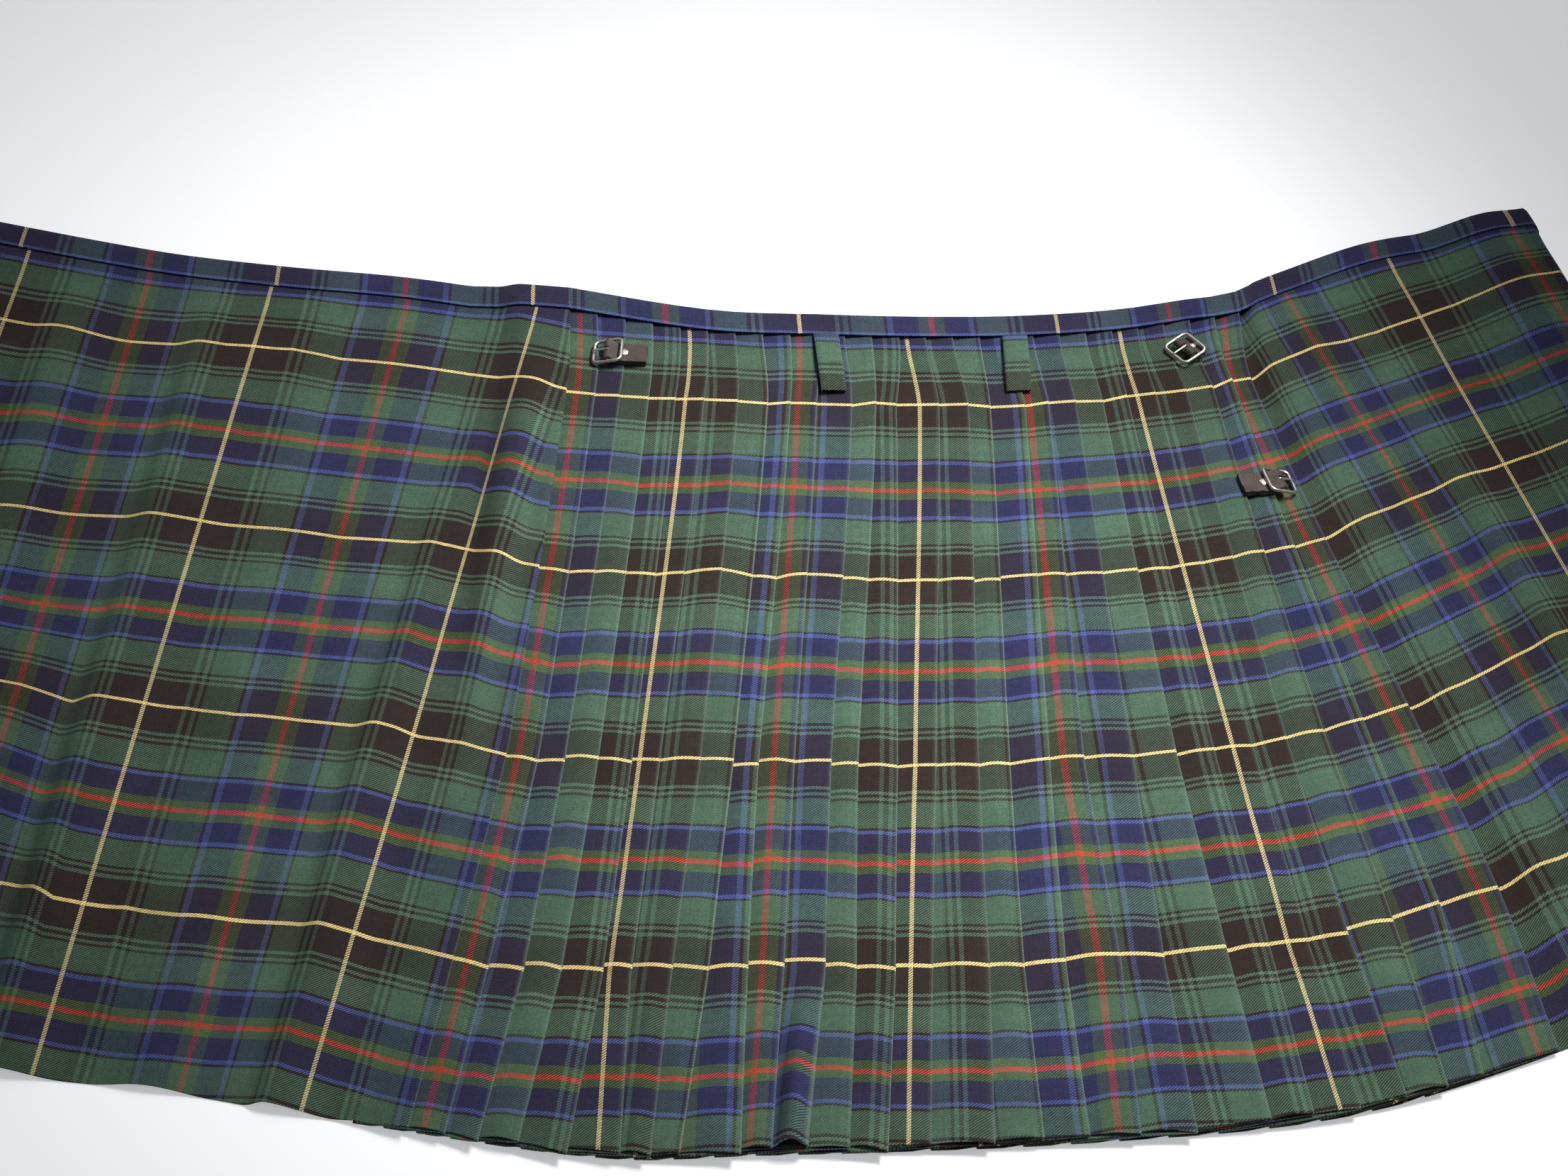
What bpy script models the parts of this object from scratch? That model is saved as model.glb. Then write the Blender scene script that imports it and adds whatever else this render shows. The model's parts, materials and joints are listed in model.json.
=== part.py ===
# Scottish kilt opened out flat on a table, outside up, waist at +Y.
# The over apron lies at -X, the knife pleats in the middle, the under apron at +X.

import math

import bmesh
import bpy
import numpy as np
from mathutils import Matrix, Vector

# Driving dimensions, in metres
MM = 0.001
CLOTH = 1.0 * MM
GAP = 0.3 * MM
LENGTH = 600 * MM
PLEATS = 25
LAYER = CLOTH + GAP
RISE = 2 * LAYER
HIDDEN_WAIST = 2.9
HIDDEN_HEM = 2.45
LAST_LIFT = 1.5 * MM
BAND_OUTSIDE = 16 * MM
BAND_INSIDE = 12 * MM
LIFT_ENDS = 34 * MM
TURNED_UNDER = 155 * MM
LOOP_WIDE = 12.5 * MM
LOOP_LONG = 46 * MM
TAB_LEATHER = 1.2 * MM
TAB_WIDE = 14.5 * MM
FRAME_WIDE = 19.5 * MM
FRAME_LONG = 17.0 * MM
WIRE = 1.9 * MM
BAR = 1.6 * MM
BAR_HIGH = 3.2 * MM
FAR_RAIL_HIGH = 1.3 * MM
PRONG = 1.2 * MM
STRAP_LEATHER = 1.5 * MM
STRAP_WIDE = 15 * MM
STRAP_LONG = 150 * MM
SEAT = 0.15 * MM
STRAP_HOLE = 3 * MM
STRAP_HOLES = 5
HOLE_PITCH = 14 * MM
EDGE = 1.2 * MM
BAND_TURN = -1.2 * MM
MITRE = 0.35

# Where lengthwise lines of the cloth run, in millimetres from the middle of the pleats
# name, across the cloth, waist x, waist y, hem x, hem y
WARPS = [
    ("over edge", -415, -476, 313, -563, -315),
    ("over 1", -280, -344, 274, -412, -334),
    ("over 2", -210, -277, 261, -348, -342),
    ("over 3", -140, -202, 250, -279, -352),
    ("over 4", -70, -131, 233, -222, -365),
    ("back 1", 70, -40, 210, -80, -392),
    ("back 2", 140, 21, 206, -10, -390),
    ("back 3", 210, 76, 204, 50, -388),
    ("back 4", 280, 130, 205, 156, -381),
    ("back 5", 350, 189, 212, 259, -366),
    ("back 6", 420, 232, 226, 357, -327),
    ("under 1", 490, 267, 247, 440, -280),
    ("under 2", 560, 326, 277, 474, -258),
    ("under fold", 640, 404, 290, 548, -215),
]

# The even spread of the pleats at five levels, in millimetres
# below the waist, first crease x, last crease x, how far the middle one strays
SPREAD = [
    (0, -116, 245, 3),
    (71, -115, 250, 4),
    (351, -135, 310, -21),
    (491, -149, 341, -30),
    (600, -161, 358, -32),
]

# How far each crease strays from the even spread, in millimetres, and how low its hem hangs
# at the hip, at mid length, at the knee, at the hem, hem drop
CREASES = [
    (0, -1, 0, 0, 2),
    (0, 0, 0, 0, 2),
    (-2, -2, -4, -11, 4),
    (-2, -1, -2, -9, 1),
    (-3, 0, 1, -4, 5),
    (-3, -2, -2, 3, 2),
    (0, 2, 0, -1, 3),
    (1, 2, 0, -6, 1),
    (-2, -2, 1, 3, 5),
    (-3, -1, 0, -2, 1),
    (1, 0, 1, -5, 2),
    (-1, -4, -3, -6, 2),
    (-5, -2, -4, -9, 5),
    (3, -1, -6, -10, 1),
    (4, 2, 1, -2, 3),
    (1, -1, -3, -1, 1),
    (5, 0, -4, -2, 1),
    (3, -2, 1, -1, 3),
    (3, 3, 0, 2, 4),
    (3, 5, 8, 13, 1),
    (2, 4, 6, 9, 1),
    (3, 3, 2, 7, 3),
    (5, 0, -2, 4, 1),
    (5, -2, -3, -1, 3),
    (3, -2, -3, -9, 1),
    (-1, 1, 2, 2, 2),
]
CREASE_LEVELS = [0, 25, 71, 351, 491, 600]

# Soft folds that run down the aprons: across the cloth, half width, height, from, to, all in millimetres
OVER_FOLDS = [
    (-372, 26, 6, 60, 640),
    (-318, 20, 4, -60, 330),
    (-176, 22, 5, 120, 640),
    (-108, 18, 3, 200, 660),
]
UNDER_FOLDS = [
    (528, 24, 5, 90, 520),
    (596, 20, 4, 260, 660),
]

# One pleat has rolled open towards its hem: number, where it starts, height of the roll
ROLLED = 10
ROLL_FROM = 470 * MM
ROLL_HIGH = 7 * MM

# The under apron over the part turned under it, in millimetres
# below the waist, height there, height of the roll at its fold
UNDER_HEIGHTS = [
    (0, 5.2, 17),
    (60, 5.2, 17),
    (130, 2.9, 14),
    (260, 2.9, 9),
    (440, 2.9, 7),
    (600, 2.9, 6),
]

# Levels that the cloth is worked out at, in millimetres below the waist
LEVELS = [1.2, 16, 34, 71, 130, 210, 300, 380, 460, 540, 600]

COLLECTION = "scottish_kilt"


def clear_scene():
    for thing in list(bpy.data.objects):
        bpy.data.objects.remove(thing)


def material(name, colour, roughness, metallic=0.0):
    made = bpy.data.materials.new(name)
    made.use_nodes = True
    shader = made.node_tree.nodes["Principled BSDF"]
    shader.inputs["Base Color"].default_value = (*colour, 1.0)
    shader.inputs["Roughness"].default_value = roughness
    shader.inputs["Metallic"].default_value = metallic
    return made


def smooth_step(x, low, high):
    f = min(max((x - low) / (high - low), 0.0), 1.0)
    return f * f * (3 - 2 * f)


def smooth_curve(x, xs, ys):
    """A curve through the points whose slope at each is that of its neighbours' chord."""
    i = int(np.clip(np.searchsorted(xs, x) - 1, 0, len(xs) - 2))
    slopes = []
    for j in (i, i + 1):
        low, high = max(j - 1, 0), min(j + 1, len(xs) - 1)
        slopes.append((ys[high] - ys[low]) / (xs[high] - xs[low]))
    step = xs[i + 1] - xs[i]
    f = (x - xs[i]) / step
    if f < 0:
        return ys[i] + slopes[0] * (x - xs[i])
    if f > 1:
        return ys[i + 1] + slopes[1] * (x - xs[i + 1])
    a = (1 + 2 * f) * (1 - f) ** 2 * ys[i] + f * f * (3 - 2 * f) * ys[i + 1]
    return a + step * (f * (1 - f) ** 2 * slopes[0] - f * f * (1 - f) * slopes[1])


def warps_at(v):
    """Every lengthwise line's place across, x and y, this far below the waist."""
    f = v / LENGTH
    across = [row[1] * MM for row in WARPS]
    xs = [(row[2] * (1 - f) + row[4] * f) * MM for row in WARPS]
    ys = [(row[3] * (1 - f) + row[5] * f) * MM for row in WARPS]
    return across, xs, ys


def plan(across, v):
    """The place on the table of a point of an apron."""
    places, xs, ys = warps_at(v)
    return smooth_curve(across, places, xs), smooth_curve(across, places, ys)


def y_at(x, v):
    _, xs, ys = warps_at(v)
    return smooth_curve(x, xs, ys)


def across_at(x, v):
    places, xs, _ = warps_at(v)
    return smooth_curve(x, xs, places)


def spread_at(v):
    levels = [row[0] * MM for row in SPREAD]
    return [smooth_curve(v, levels, [row[c] * MM for row in SPREAD]) for c in (1, 2, 3)]


def even_x(number, v):
    """Where the crease of this number, whole or not, lies when the pleats are evenly spread."""
    first, last, sag = spread_at(v)
    f = number / PLEATS
    return first + (last - first) * f + 4 * sag * f * (1 - f)


def stray(number, v):
    row = CREASES[number]
    values = [0, 0, row[0], row[1], row[2], row[3]]
    return float(np.interp(v, [level * MM for level in CREASE_LEVELS], values)) * MM


def hidden_at(v):
    """How many pleats wide each hidden fold is."""
    return HIDDEN_WAIST + (HIDDEN_HEM - HIDDEN_WAIST) * v / LENGTH


def table_at(v):
    """Height of the lowest layer's middle: the waistband's inside lies under it."""
    return CLOTH / 2 + LAYER * (1 - smooth_step(v, BAND_OUTSIDE, LIFT_ENDS))


def face_height(number, step):
    """Height of a pleat's face above its lowest layer, step pleats from its inner fold."""
    ceiling = RISE * (PLEATS + 1 - number) + LAST_LIFT * (number <= PLEATS)
    if step <= 0.55:
        height = 0.0
    elif step < 1:
        height = RISE * (step - 0.55) / 0.45
    else:
        height = RISE * step
    return min(height, ceiling)


def pleat_point(number, place, v, lift=0.0, out=0.0, low=0.0):
    """A point of a pleat at a place counted in pleats, moved up, outward and towards the hem."""
    x = even_x(place, v) + out
    step = place - (number - 1 - hidden_at(v))
    height = table_at(v) + face_height(number, step) + lift
    return Vector((x, y_at(x, v) - low, height))


def place_of_crease(number, v):
    """The crease's place counted in pleats, strays included."""
    pitch = even_x(number + 0.5, v) - even_x(number - 0.5, v)
    return number + stray(number, v) / pitch


def hem_drop(number, v):
    return CREASES[number][4] * MM * smooth_step(v, 0.55 * LENGTH, LENGTH)


def face_points(number, v):
    """A pleat's face, from its inner fold to its crease and round it, this far below the waist."""
    hidden = hidden_at(v)
    start = number - 1 - hidden
    crease = place_of_crease(number, v)
    low = hem_drop(number, v)
    ceiling_step = PLEATS + 1 - number + LAST_LIFT / RISE
    bend = min(start + min(ceiling_step, hidden + 0.5), crease - 0.25)
    points = [
        pleat_point(number, start, v),
        pleat_point(number, start + 0.55, v),
        pleat_point(number, start + 1, v),
    ]
    rolled = 0.0
    if number == ROLLED:
        rolled = ROLL_HIGH * smooth_step(v, ROLL_FROM, 0.97 * LENGTH)
        points.append(pleat_point(number, number - 1 + 0.2, v))
        bend = max(bend, number - 0.45)
    points.append(pleat_point(number, bend, v, rolled, 0, low / 2))
    points.append(pleat_point(number, crease, v, rolled * 0.55, 0, low))
    return points, rolled


def crease_points(number, v, rolled):
    """The turn at the crease, and the layer that goes back under the face."""
    hidden = hidden_at(v)
    crease = place_of_crease(number, v)
    low = hem_drop(number, v)
    radius = LAYER / 2
    points = [
        pleat_point(number, crease, v, rolled * 0.25 - radius, radius, low),
        pleat_point(number, crease, v, -LAYER, 0, low),
    ]
    ceiling_step = PLEATS + 1 - number + LAST_LIFT / RISE
    start = number - 1 - hidden
    if ceiling_step < HIDDEN_WAIST + 1:
        inner = start + min(ceiling_step, hidden + 0.5)
        points.append(pleat_point(number, inner, v, -LAYER, 0, low / 2))
    return points


def back_row(v):
    row = []
    for number in range(1, PLEATS + 1):
        face, rolled = face_points(number, v)
        row += face
        row += crease_points(number, v, rolled)
        fold = number - hidden_at(v)
        if number < PLEATS:
            row.append(pleat_point(number, fold, v, -LAYER))
            row.append(pleat_point(number + 1, fold, v, LAYER / 2, -LAYER / 2))
        else:
            row.append(pleat_point(number, fold + 0.1, v, -LAYER))
    return row


def fold_lift(across, v, folds):
    """Height that the soft folds of an apron add at one of its points."""
    total = 0.0
    for place, half, high, start, end in folds:
        sideways = (across - place * MM) / (half * MM)
        down = (v - start * MM) / ((end - start) * MM)
        if abs(sideways) < 1 and 0 < down < 1:
            total += high * MM * math.cos(sideways * math.pi / 2) ** 2 * math.sin(down * math.pi)
    return total * smooth_step(v, BAND_OUTSIDE, LIFT_ENDS * 2)


def over_row(v):
    """The over apron from its free edge to the first crease and the layer folded under it."""
    hidden = hidden_at(v)
    start = -1 - hidden
    edge = WARPS[0][1] * MM
    last = across_at(even_x(start, v), v)
    row = []
    columns = 26
    for i in range(columns):
        across = edge + (last - 4 * MM - edge) * i / (columns - 1)
        x, y = plan(across, v)
        row.append(Vector((x, y, table_at(v) + fold_lift(across, v, OVER_FOLDS))))
    crease = place_of_crease(0, v)
    low = hem_drop(0, v)
    row += [
        pleat_point(0, start + 0.55, v),
        pleat_point(0, start + 1, v),
        pleat_point(0, start + hidden + 0.5, v, 0, 0, low / 2),
        pleat_point(0, crease, v, 0, 0, low),
        pleat_point(0, crease, v, -LAYER / 2, LAYER / 2, low),
        pleat_point(0, crease, v, -LAYER, 0, low),
        pleat_point(0, 0.1 - hidden, v, -LAYER),
    ]
    return row


def under_heights(v):
    levels = [row[0] * MM for row in UNDER_HEIGHTS]
    return [float(np.interp(v, levels, [row[c] * MM for row in UNDER_HEIGHTS])) for c in (1, 2)]


def under_row(v):
    """The under apron from the last pleat's depth to its fold, and back underneath."""
    start = PLEATS - hidden_at(v)
    first = across_at(even_x(start, v), v)
    crease = across_at(even_x(place_of_crease(PLEATS, v), v), v)
    turn = WARPS[-1][1] * MM
    free = turn - TURNED_UNDER
    over, high = under_heights(v)
    row = []
    for i in range(5):
        across = first + (crease - first) * i / 4
        x, y = plan(across, v)
        row.append(Vector((x, y, table_at(v))))
    columns = 15
    for i in range(1, columns):
        across = crease + 3 * MM + (turn - crease - 3 * MM) * i / columns
        climb = smooth_step(across, crease + 2 * MM, crease + 22 * MM)
        roll = smooth_step(across, turn - 62 * MM, turn - 14 * MM)
        height = over * climb + (high - over) * roll
        height += fold_lift(across, v, UNDER_FOLDS)
        x, y = plan(across, v)
        row.append(Vector((x, y, table_at(v) + height)))
    radius = (high + 0.5 * LAYER) / 2
    reach = min(radius, 5 * MM)
    for angle in (60, 20, -20, -60):
        lean = math.radians(angle)
        x, y = plan(turn + reach * math.cos(lean), v)
        row.append(Vector((x, y, table_at(v) + radius + radius * math.sin(lean))))
    for i in range(6):
        across = turn - 3 * MM + (free - turn + 3 * MM) * i / 5
        x, y = plan(across, v)
        row.append(Vector((x, y, table_at(v))))
    return row


def add_object(name, mesh, finish, parent):
    made = bpy.data.objects.new(name, mesh)
    bpy.data.collections[COLLECTION].objects.link(made)
    made.data.materials.append(finish)
    made.parent = parent
    return made


def offsets(rows):
    """At every point of the rows, how far its wall's outside moves for each unit of thickness."""
    found = []
    for i, row in enumerate(rows):
        above, below = rows[max(i - 1, 0)], rows[min(i + 1, len(rows) - 1)]
        line = []
        for j, point in enumerate(row):
            down = below[j] - above[j]
            sides = []
            for first, second in ((j - 1, j), (j, j + 1)):
                if first >= 0 and second < len(row):
                    sides.append(down.cross(row[second] - row[first]).normalized())
            mean = sum(sides, Vector()) / len(sides)
            line.append(mean / max(mean.length_squared, MITRE))
        found.append(line)
    return found


def sheet(name, rows, thick, finish, parent):
    """A wall of this thickness whose middle runs through the rows of points."""
    wide = len(rows[0])
    tall = len(rows)
    outward = offsets(rows)
    points = []
    for side in (0.5, -0.5):
        for row, line in zip(rows, outward):
            points += [point + out * thick * side for point, out in zip(row, line)]
    other = wide * tall
    faces = []
    for i in range(tall - 1):
        for j in range(wide - 1):
            a = i * wide + j
            b, c, d = a + 1, a + wide + 1, a + wide
            ahead = rows[i][j + 1].x > rows[i][j].x
            halves = ((a, d, c), (a, c, b)) if ahead else ((a, d, b), (b, d, c))
            for half in halves:
                faces.append(half)
                faces.append(tuple(other + k for k in reversed(half)))
    rim = list(range(wide))
    rim += [i * wide + wide - 1 for i in range(1, tall)]
    rim += [(tall - 1) * wide + j for j in range(wide - 2, -1, -1)]
    rim += [i * wide for i in range(tall - 2, 0, -1)]
    for a, b in zip(rim, rim[1:] + rim[:1]):
        faces.append((a, b, other + b, other + a))
    mesh = bpy.data.meshes.new(name)
    mesh.from_pydata(points, [], faces)
    return add_object(name, mesh, finish, parent)


def band_columns():
    """The waistband's columns: how each crosses the cloth's inside and outside, and which way is out."""
    columns = []
    up = Vector((0, 0, 1))
    edge = WARPS[0][1] * MM

    def flat(across):
        def inside(v):
            x, y = plan(across, v)
            return Vector((x, y, table_at(v)))

        return inside

    def under_pleats(place):
        return lambda v: Vector((even_x(place, v), y_at(even_x(place, v), v), table_at(v)))

    def crease_top(number):
        return lambda v: pleat_point(number, number, v)

    first_rise = across_at(even_x(-1 - HIDDEN_WAIST, 0), 0) - 4 * MM
    count = 12
    for i in range(count):
        across = edge + (first_rise - edge) * i / (count - 1)
        columns.append((flat(across), flat(across), up))
    for step in (0.55, 1.0, HIDDEN_WAIST + 0.5):
        place = step - 1 - HIDDEN_WAIST
        columns.append((under_pleats(place), lambda v, p=place: pleat_point(0, p, v), up))
    for number in range(PLEATS + 1):
        columns.append((under_pleats(number), crease_top(number), up))

    samples = {v: under_row(v) for v in BAND_SAMPLES}
    middle = samples[EDGE]
    ways = offsets([middle, samples[BAND_OUTSIDE]])[0]
    last_crease = crease_top(PLEATS)(EDGE)
    across_levels = [point.x for point in middle]
    bridge_end = last_crease.x + 24 * MM
    bridge_high = float(np.interp(bridge_end, across_levels[5:12], [p.z for p in middle[5:12]]))
    for i in range(5, len(middle)):
        def inside(v, i=i):
            return samples[v][i].copy()

        def outside(v, i=i):
            point = samples[v][i].copy()
            if point.x < bridge_end and i < 12:
                f = (point.x - last_crease.x) / (bridge_end - last_crease.x)
                point.z = max(point.z, last_crease.z + (bridge_high - last_crease.z) * f)
            return point

        columns.append((inside, outside, ways[i]))
    return columns


BAND_SAMPLES = [BAND_TURN, EDGE, BAND_INSIDE, BAND_OUTSIDE]


def waistband(finish, parent):
    rows = []
    for inside, outside, out in band_columns():
        rows.append([
            inside(BAND_INSIDE) - out * LAYER,
            inside(EDGE) - out * LAYER,
            inside(BAND_TURN) - out * LAYER * 0.35,
            outside(BAND_TURN) + out * LAYER * 0.35,
            outside(EDGE) + out * LAYER,
            outside(BAND_OUTSIDE) + out * LAYER,
        ])
    return sheet("waistband", rows, CLOTH, finish, parent)


def crease_tops(v):
    """The top of the cloth at every crease this far below the waist, x and height."""
    tops = []
    for number in range(PLEATS + 1):
        point = pleat_point(number, place_of_crease(number, v), v)
        tops.append((point.x, point.z + CLOTH / 2 + 0.05 * MM))
    return tops


def top_at(x, v):
    xs, heights = zip(*crease_tops(v))
    return float(np.interp(x, xs, heights))


def level_of(x, y):
    """How far below the waist a place on the pleats is."""
    levels = np.linspace(0, LENGTH, 121)
    return float(np.interp(-y, [-y_at(x, v) for v in levels], levels))


def belt_loop(name, x, lean, finish, parent):
    """A strip sewn down at both ends, bowed a little between them."""
    rows = []
    steps = 6
    for i in range(steps + 1):
        f = i / steps
        v = BAND_OUTSIDE + 0.6 * MM + LOOP_LONG * f
        middle = x + lean * f
        highest = max(top_at(middle + LOOP_WIDE * side, v) for side in (-0.5, -0.25, 0, 0.25, 0.5))
        height = highest + GAP + CLOTH * 0.75 + 1.6 * MM * math.sin(math.pi * f) ** 0.8
        row = []
        for side in (0.5, -0.5):
            across = middle + LOOP_WIDE * side
            row.append(Vector((across, y_at(across, v), height)))
        rows.append(row)
    return sheet(name, rows, CLOTH * 1.5, finish, parent)


def collect(name):
    made = bpy.data.collections.new(name)
    bpy.context.scene.collection.children.link(made)
    return made


def wire_mesh(name, points, thick, sides, closed=False, taper=1.0):
    """The mesh of a round wire bent through the points."""
    curve = bpy.data.curves.new(name, "CURVE")
    curve.dimensions = "3D"
    curve.bevel_depth = thick / 2
    curve.bevel_resolution = sides
    curve.use_fill_caps = True
    line = curve.splines.new("POLY")
    line.points.add(len(points) - 1)
    for i, (place, point) in enumerate(zip(line.points, points)):
        place.co = (*point, 1)
        place.radius = 1 + (taper - 1) * i / (len(points) - 1)
    line.use_cyclic_u = closed
    holder = bpy.data.objects.new(name, curve)
    bpy.context.scene.collection.objects.link(holder)
    graph = bpy.context.evaluated_depsgraph_get()
    mesh = bpy.data.meshes.new_from_object(holder.evaluated_get(graph))
    bpy.data.objects.remove(holder)
    shape = bmesh.new()
    shape.from_mesh(mesh)
    bmesh.ops.remove_doubles(shape, verts=shape.verts, dist=0.00001)
    bmesh.ops.recalc_face_normals(shape, faces=shape.faces)
    shape.to_mesh(mesh)
    shape.free()
    mesh.shade_smooth()
    return mesh


def rounded_ring(long, wide, corner, steps):
    """Points round a rectangle with rounded corners, flat, centred."""
    points = []
    for turn in range(4):
        sx = 1 if turn in (0, 3) else -1
        sy = 1 if turn in (0, 1) else -1
        centre = Vector((sx * (long / 2 - corner), sy * (wide / 2 - corner), 0))
        for i in range(steps + 1):
            angle = math.radians(90 * (turn + i / steps))
            points.append(centre + Vector((math.cos(angle), math.sin(angle), 0)) * corner)
    return points


def join(target, tool, operation):
    """Adds a Boolean whose other shape is a hidden helper."""
    bpy.data.collections[COLLECTION + "_helpers"].objects.link(tool)
    tool.hide_render = True
    tool.display_type = "WIRE"
    cut = target.modifiers.new(operation.lower(), "BOOLEAN")
    cut.object = tool
    cut.operation = operation
    cut.solver = "EXACT"


def helper_box(name, size, place, parent):
    mesh = bpy.data.meshes.new(name)
    shape = bmesh.new()
    bmesh.ops.create_cube(shape, size=1)
    bmesh.ops.scale(shape, vec=size, verts=shape.verts)
    shape.to_mesh(mesh)
    shape.free()
    made = bpy.data.objects.new(name, mesh)
    made.location = place
    made.parent = parent
    return made


def helper_rod(name, radius, long, place, parent, along_y=False):
    mesh = bpy.data.meshes.new(name)
    shape = bmesh.new()
    turn = Matrix.Rotation(math.pi / 2, 4, "X") if along_y else Matrix.Identity(4)
    bmesh.ops.create_cone(
        shape, cap_ends=True, segments=10, radius1=radius, radius2=radius, depth=long, matrix=turn
    )
    shape.to_mesh(mesh)
    shape.free()
    made = bpy.data.objects.new(name, mesh)
    made.location = place
    made.parent = parent
    return made


def buckle(side, x, y, turn, tab_back, rivet_x, rivet_wide, metal, leather, kilt):
    """A frame with a bar across its middle, its prong, the tab round the bar and the tab's rivet.
    Its empty stands at the bar, +X towards the tip of the prong."""
    angle = math.radians(turn)
    ahead = Vector((math.cos(angle), math.sin(angle), 0))
    reach = FRAME_LONG / 2
    spots = []
    for along in np.linspace(-tab_back, reach, 9):
        for across in (-0.5, 0, 0.5):
            place = Vector((x, y, 0)) + ahead * float(along)
            place += Vector((-ahead.y, ahead.x, 0)) * (across * FRAME_WIDE)
            spots.append((float(along), top_at(place.x, level_of(place.x, place.y))))
    tilt, _ = np.polyfit([s[0] for s in spots], [s[1] for s in spots], 1)
    rest = max(height - tilt * along for along, height in spots)
    seat = bpy.data.objects.new(side + "_seat", None)
    bpy.data.collections[COLLECTION].objects.link(seat)
    seat.location = (x, y, rest)
    lie = Matrix.Rotation(angle, 3, "Z") @ Matrix.Rotation(-math.atan(float(tilt)), 3, "Y")
    seat.rotation_euler = lie.to_euler()
    seat.parent = kilt

    # Frame, leaning on its far rail
    lean = math.atan((BAR_HIGH - FAR_RAIL_HIGH) / (FRAME_LONG / 2 - WIRE / 2))
    ring = rounded_ring(FRAME_LONG - WIRE, FRAME_WIDE - WIRE, 3 * MM, 3)
    frame = add_object(side + "_frame", wire_mesh(side, ring, WIRE, 1, True), metal, seat)
    frame.location = (0, 0, BAR_HIGH)
    frame.rotation_euler = (0, lean, 0)
    bar = helper_rod(side + "_bar", BAR / 2, FRAME_WIDE - WIRE, (0, 0, 0), frame, True)
    join(frame, bar, "UNION")

    # Prong, hooked round the bar
    hook = BAR / 2 + 0.25 * MM + PRONG / 2
    path = []
    for degrees in range(-70, -271, -25):
        bend = math.radians(degrees)
        path.append(Vector((hook * math.cos(bend), 0, hook * math.sin(bend))))
    rail_top = FAR_RAIL_HIGH + WIRE / 2 + GAP + PRONG / 2 - BAR_HIGH
    tip = FRAME_LONG / 2 - WIRE / 2 + 0.6 * MM
    path.append(Vector((hook * 0.7, 0, hook * 0.95)))
    path.append(Vector((tip * 0.6, 0, rail_top + 0.35 * (hook - rail_top))))
    path.append(Vector((tip, 0, rail_top)))
    prong = add_object(side + "_prong", wire_mesh(side, path, PRONG, 1, False, 0.9), metal, seat)
    prong.location = (0, 0, BAR_HIGH)

    # Tab, from its end on the cloth, over the bar and back underneath
    low = GAP + TAB_LEATHER / 2
    high = low + TAB_LEATHER + GAP
    wrap = BAR / 2 + GAP + TAB_LEATHER / 2
    flat_end = -rivet_x - rivet_wide / 2 - 0.3 * MM
    line = [Vector((-tab_back, 0, high)), Vector((-flat_end, 0, high))]
    for degrees in range(100, -81, -30):
        bend = math.radians(degrees)
        line.append(Vector((wrap * math.cos(bend), 0, BAR_HIGH + wrap * math.sin(bend))))
    line.append(Vector((-flat_end, 0, low)))
    line.append(Vector((-tab_back, 0, low)))
    rows = []
    for point in line:
        wide = TAB_WIDE / 2
        rows.append([point + Vector((0, wide, 0)), point - Vector((0, wide, 0))])
    tab = sheet(side + "_tab", rows, TAB_LEATHER, leather, seat)
    slot_size = (6.6 * MM, PRONG + 2.2 * GAP, 9 * MM)
    slot = helper_box(side + "_slot", slot_size, (0.1 * MM, 0, BAR_HIGH), seat)
    join(tab, slot, "DIFFERENCE")

    # Rivet, a low dome turned about its axis
    profile = [(rivet_wide / 2, 0), (rivet_wide / 2, 0.25), (rivet_wide * 0.36, 0.62), (0, 0.8)]
    mesh = bpy.data.meshes.new(side + "_rivet")
    shape = bmesh.new()
    ends = []
    segments = 12
    for radius, height in profile[:-1]:
        ring_points = []
        for i in range(segments):
            spin = 2 * math.pi * i / segments
            ring_points.append(
                shape.verts.new((radius * math.cos(spin), radius * math.sin(spin), height * MM))
            )
        ends.append(ring_points)
    for lower, upper in zip(ends, ends[1:]):
        for i in range(segments):
            j = (i + 1) % segments
            shape.faces.new((lower[i], lower[j], upper[j], upper[i]))
    shape.faces.new(list(reversed(ends[0])))
    top = shape.verts.new((0, 0, profile[-1][1] * MM))
    for i in range(segments):
        shape.faces.new((ends[-1][i], ends[-1][(i + 1) % segments], top))
    shape.to_mesh(mesh)
    shape.free()
    rivet = add_object(side + "_rivet", mesh, metal, seat)
    rivet.location = (rivet_x, 0, high + TAB_LEATHER / 2 + GAP)
    return seat


def strap(name, path, leather, parent, holes_from):
    """A leather strap along a path of places, with a pointed end and punched holes."""
    rows = []
    along = path[-1] - path[0]
    sideways = Vector((-along.y, along.x, 0)).normalized()
    for i, point in enumerate(path):
        wide = STRAP_WIDE / 2
        if i == len(path) - 1:
            wide *= 0.3
        rows.append([point + sideways * wide, point - sideways * wide])
    made = sheet(name, rows, STRAP_LEATHER, leather, parent)
    tip = path[-1]
    back = (path[-2] - path[-1]).normalized()
    for i in range(STRAP_HOLES):
        place = tip + back * (holes_from + HOLE_PITCH * i)
        hole = helper_rod(f"{name}_hole_{i}", STRAP_HOLE / 2, 3 * STRAP_LEATHER, place, parent)
        join(made, hole, "DIFFERENCE")
    return made


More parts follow.
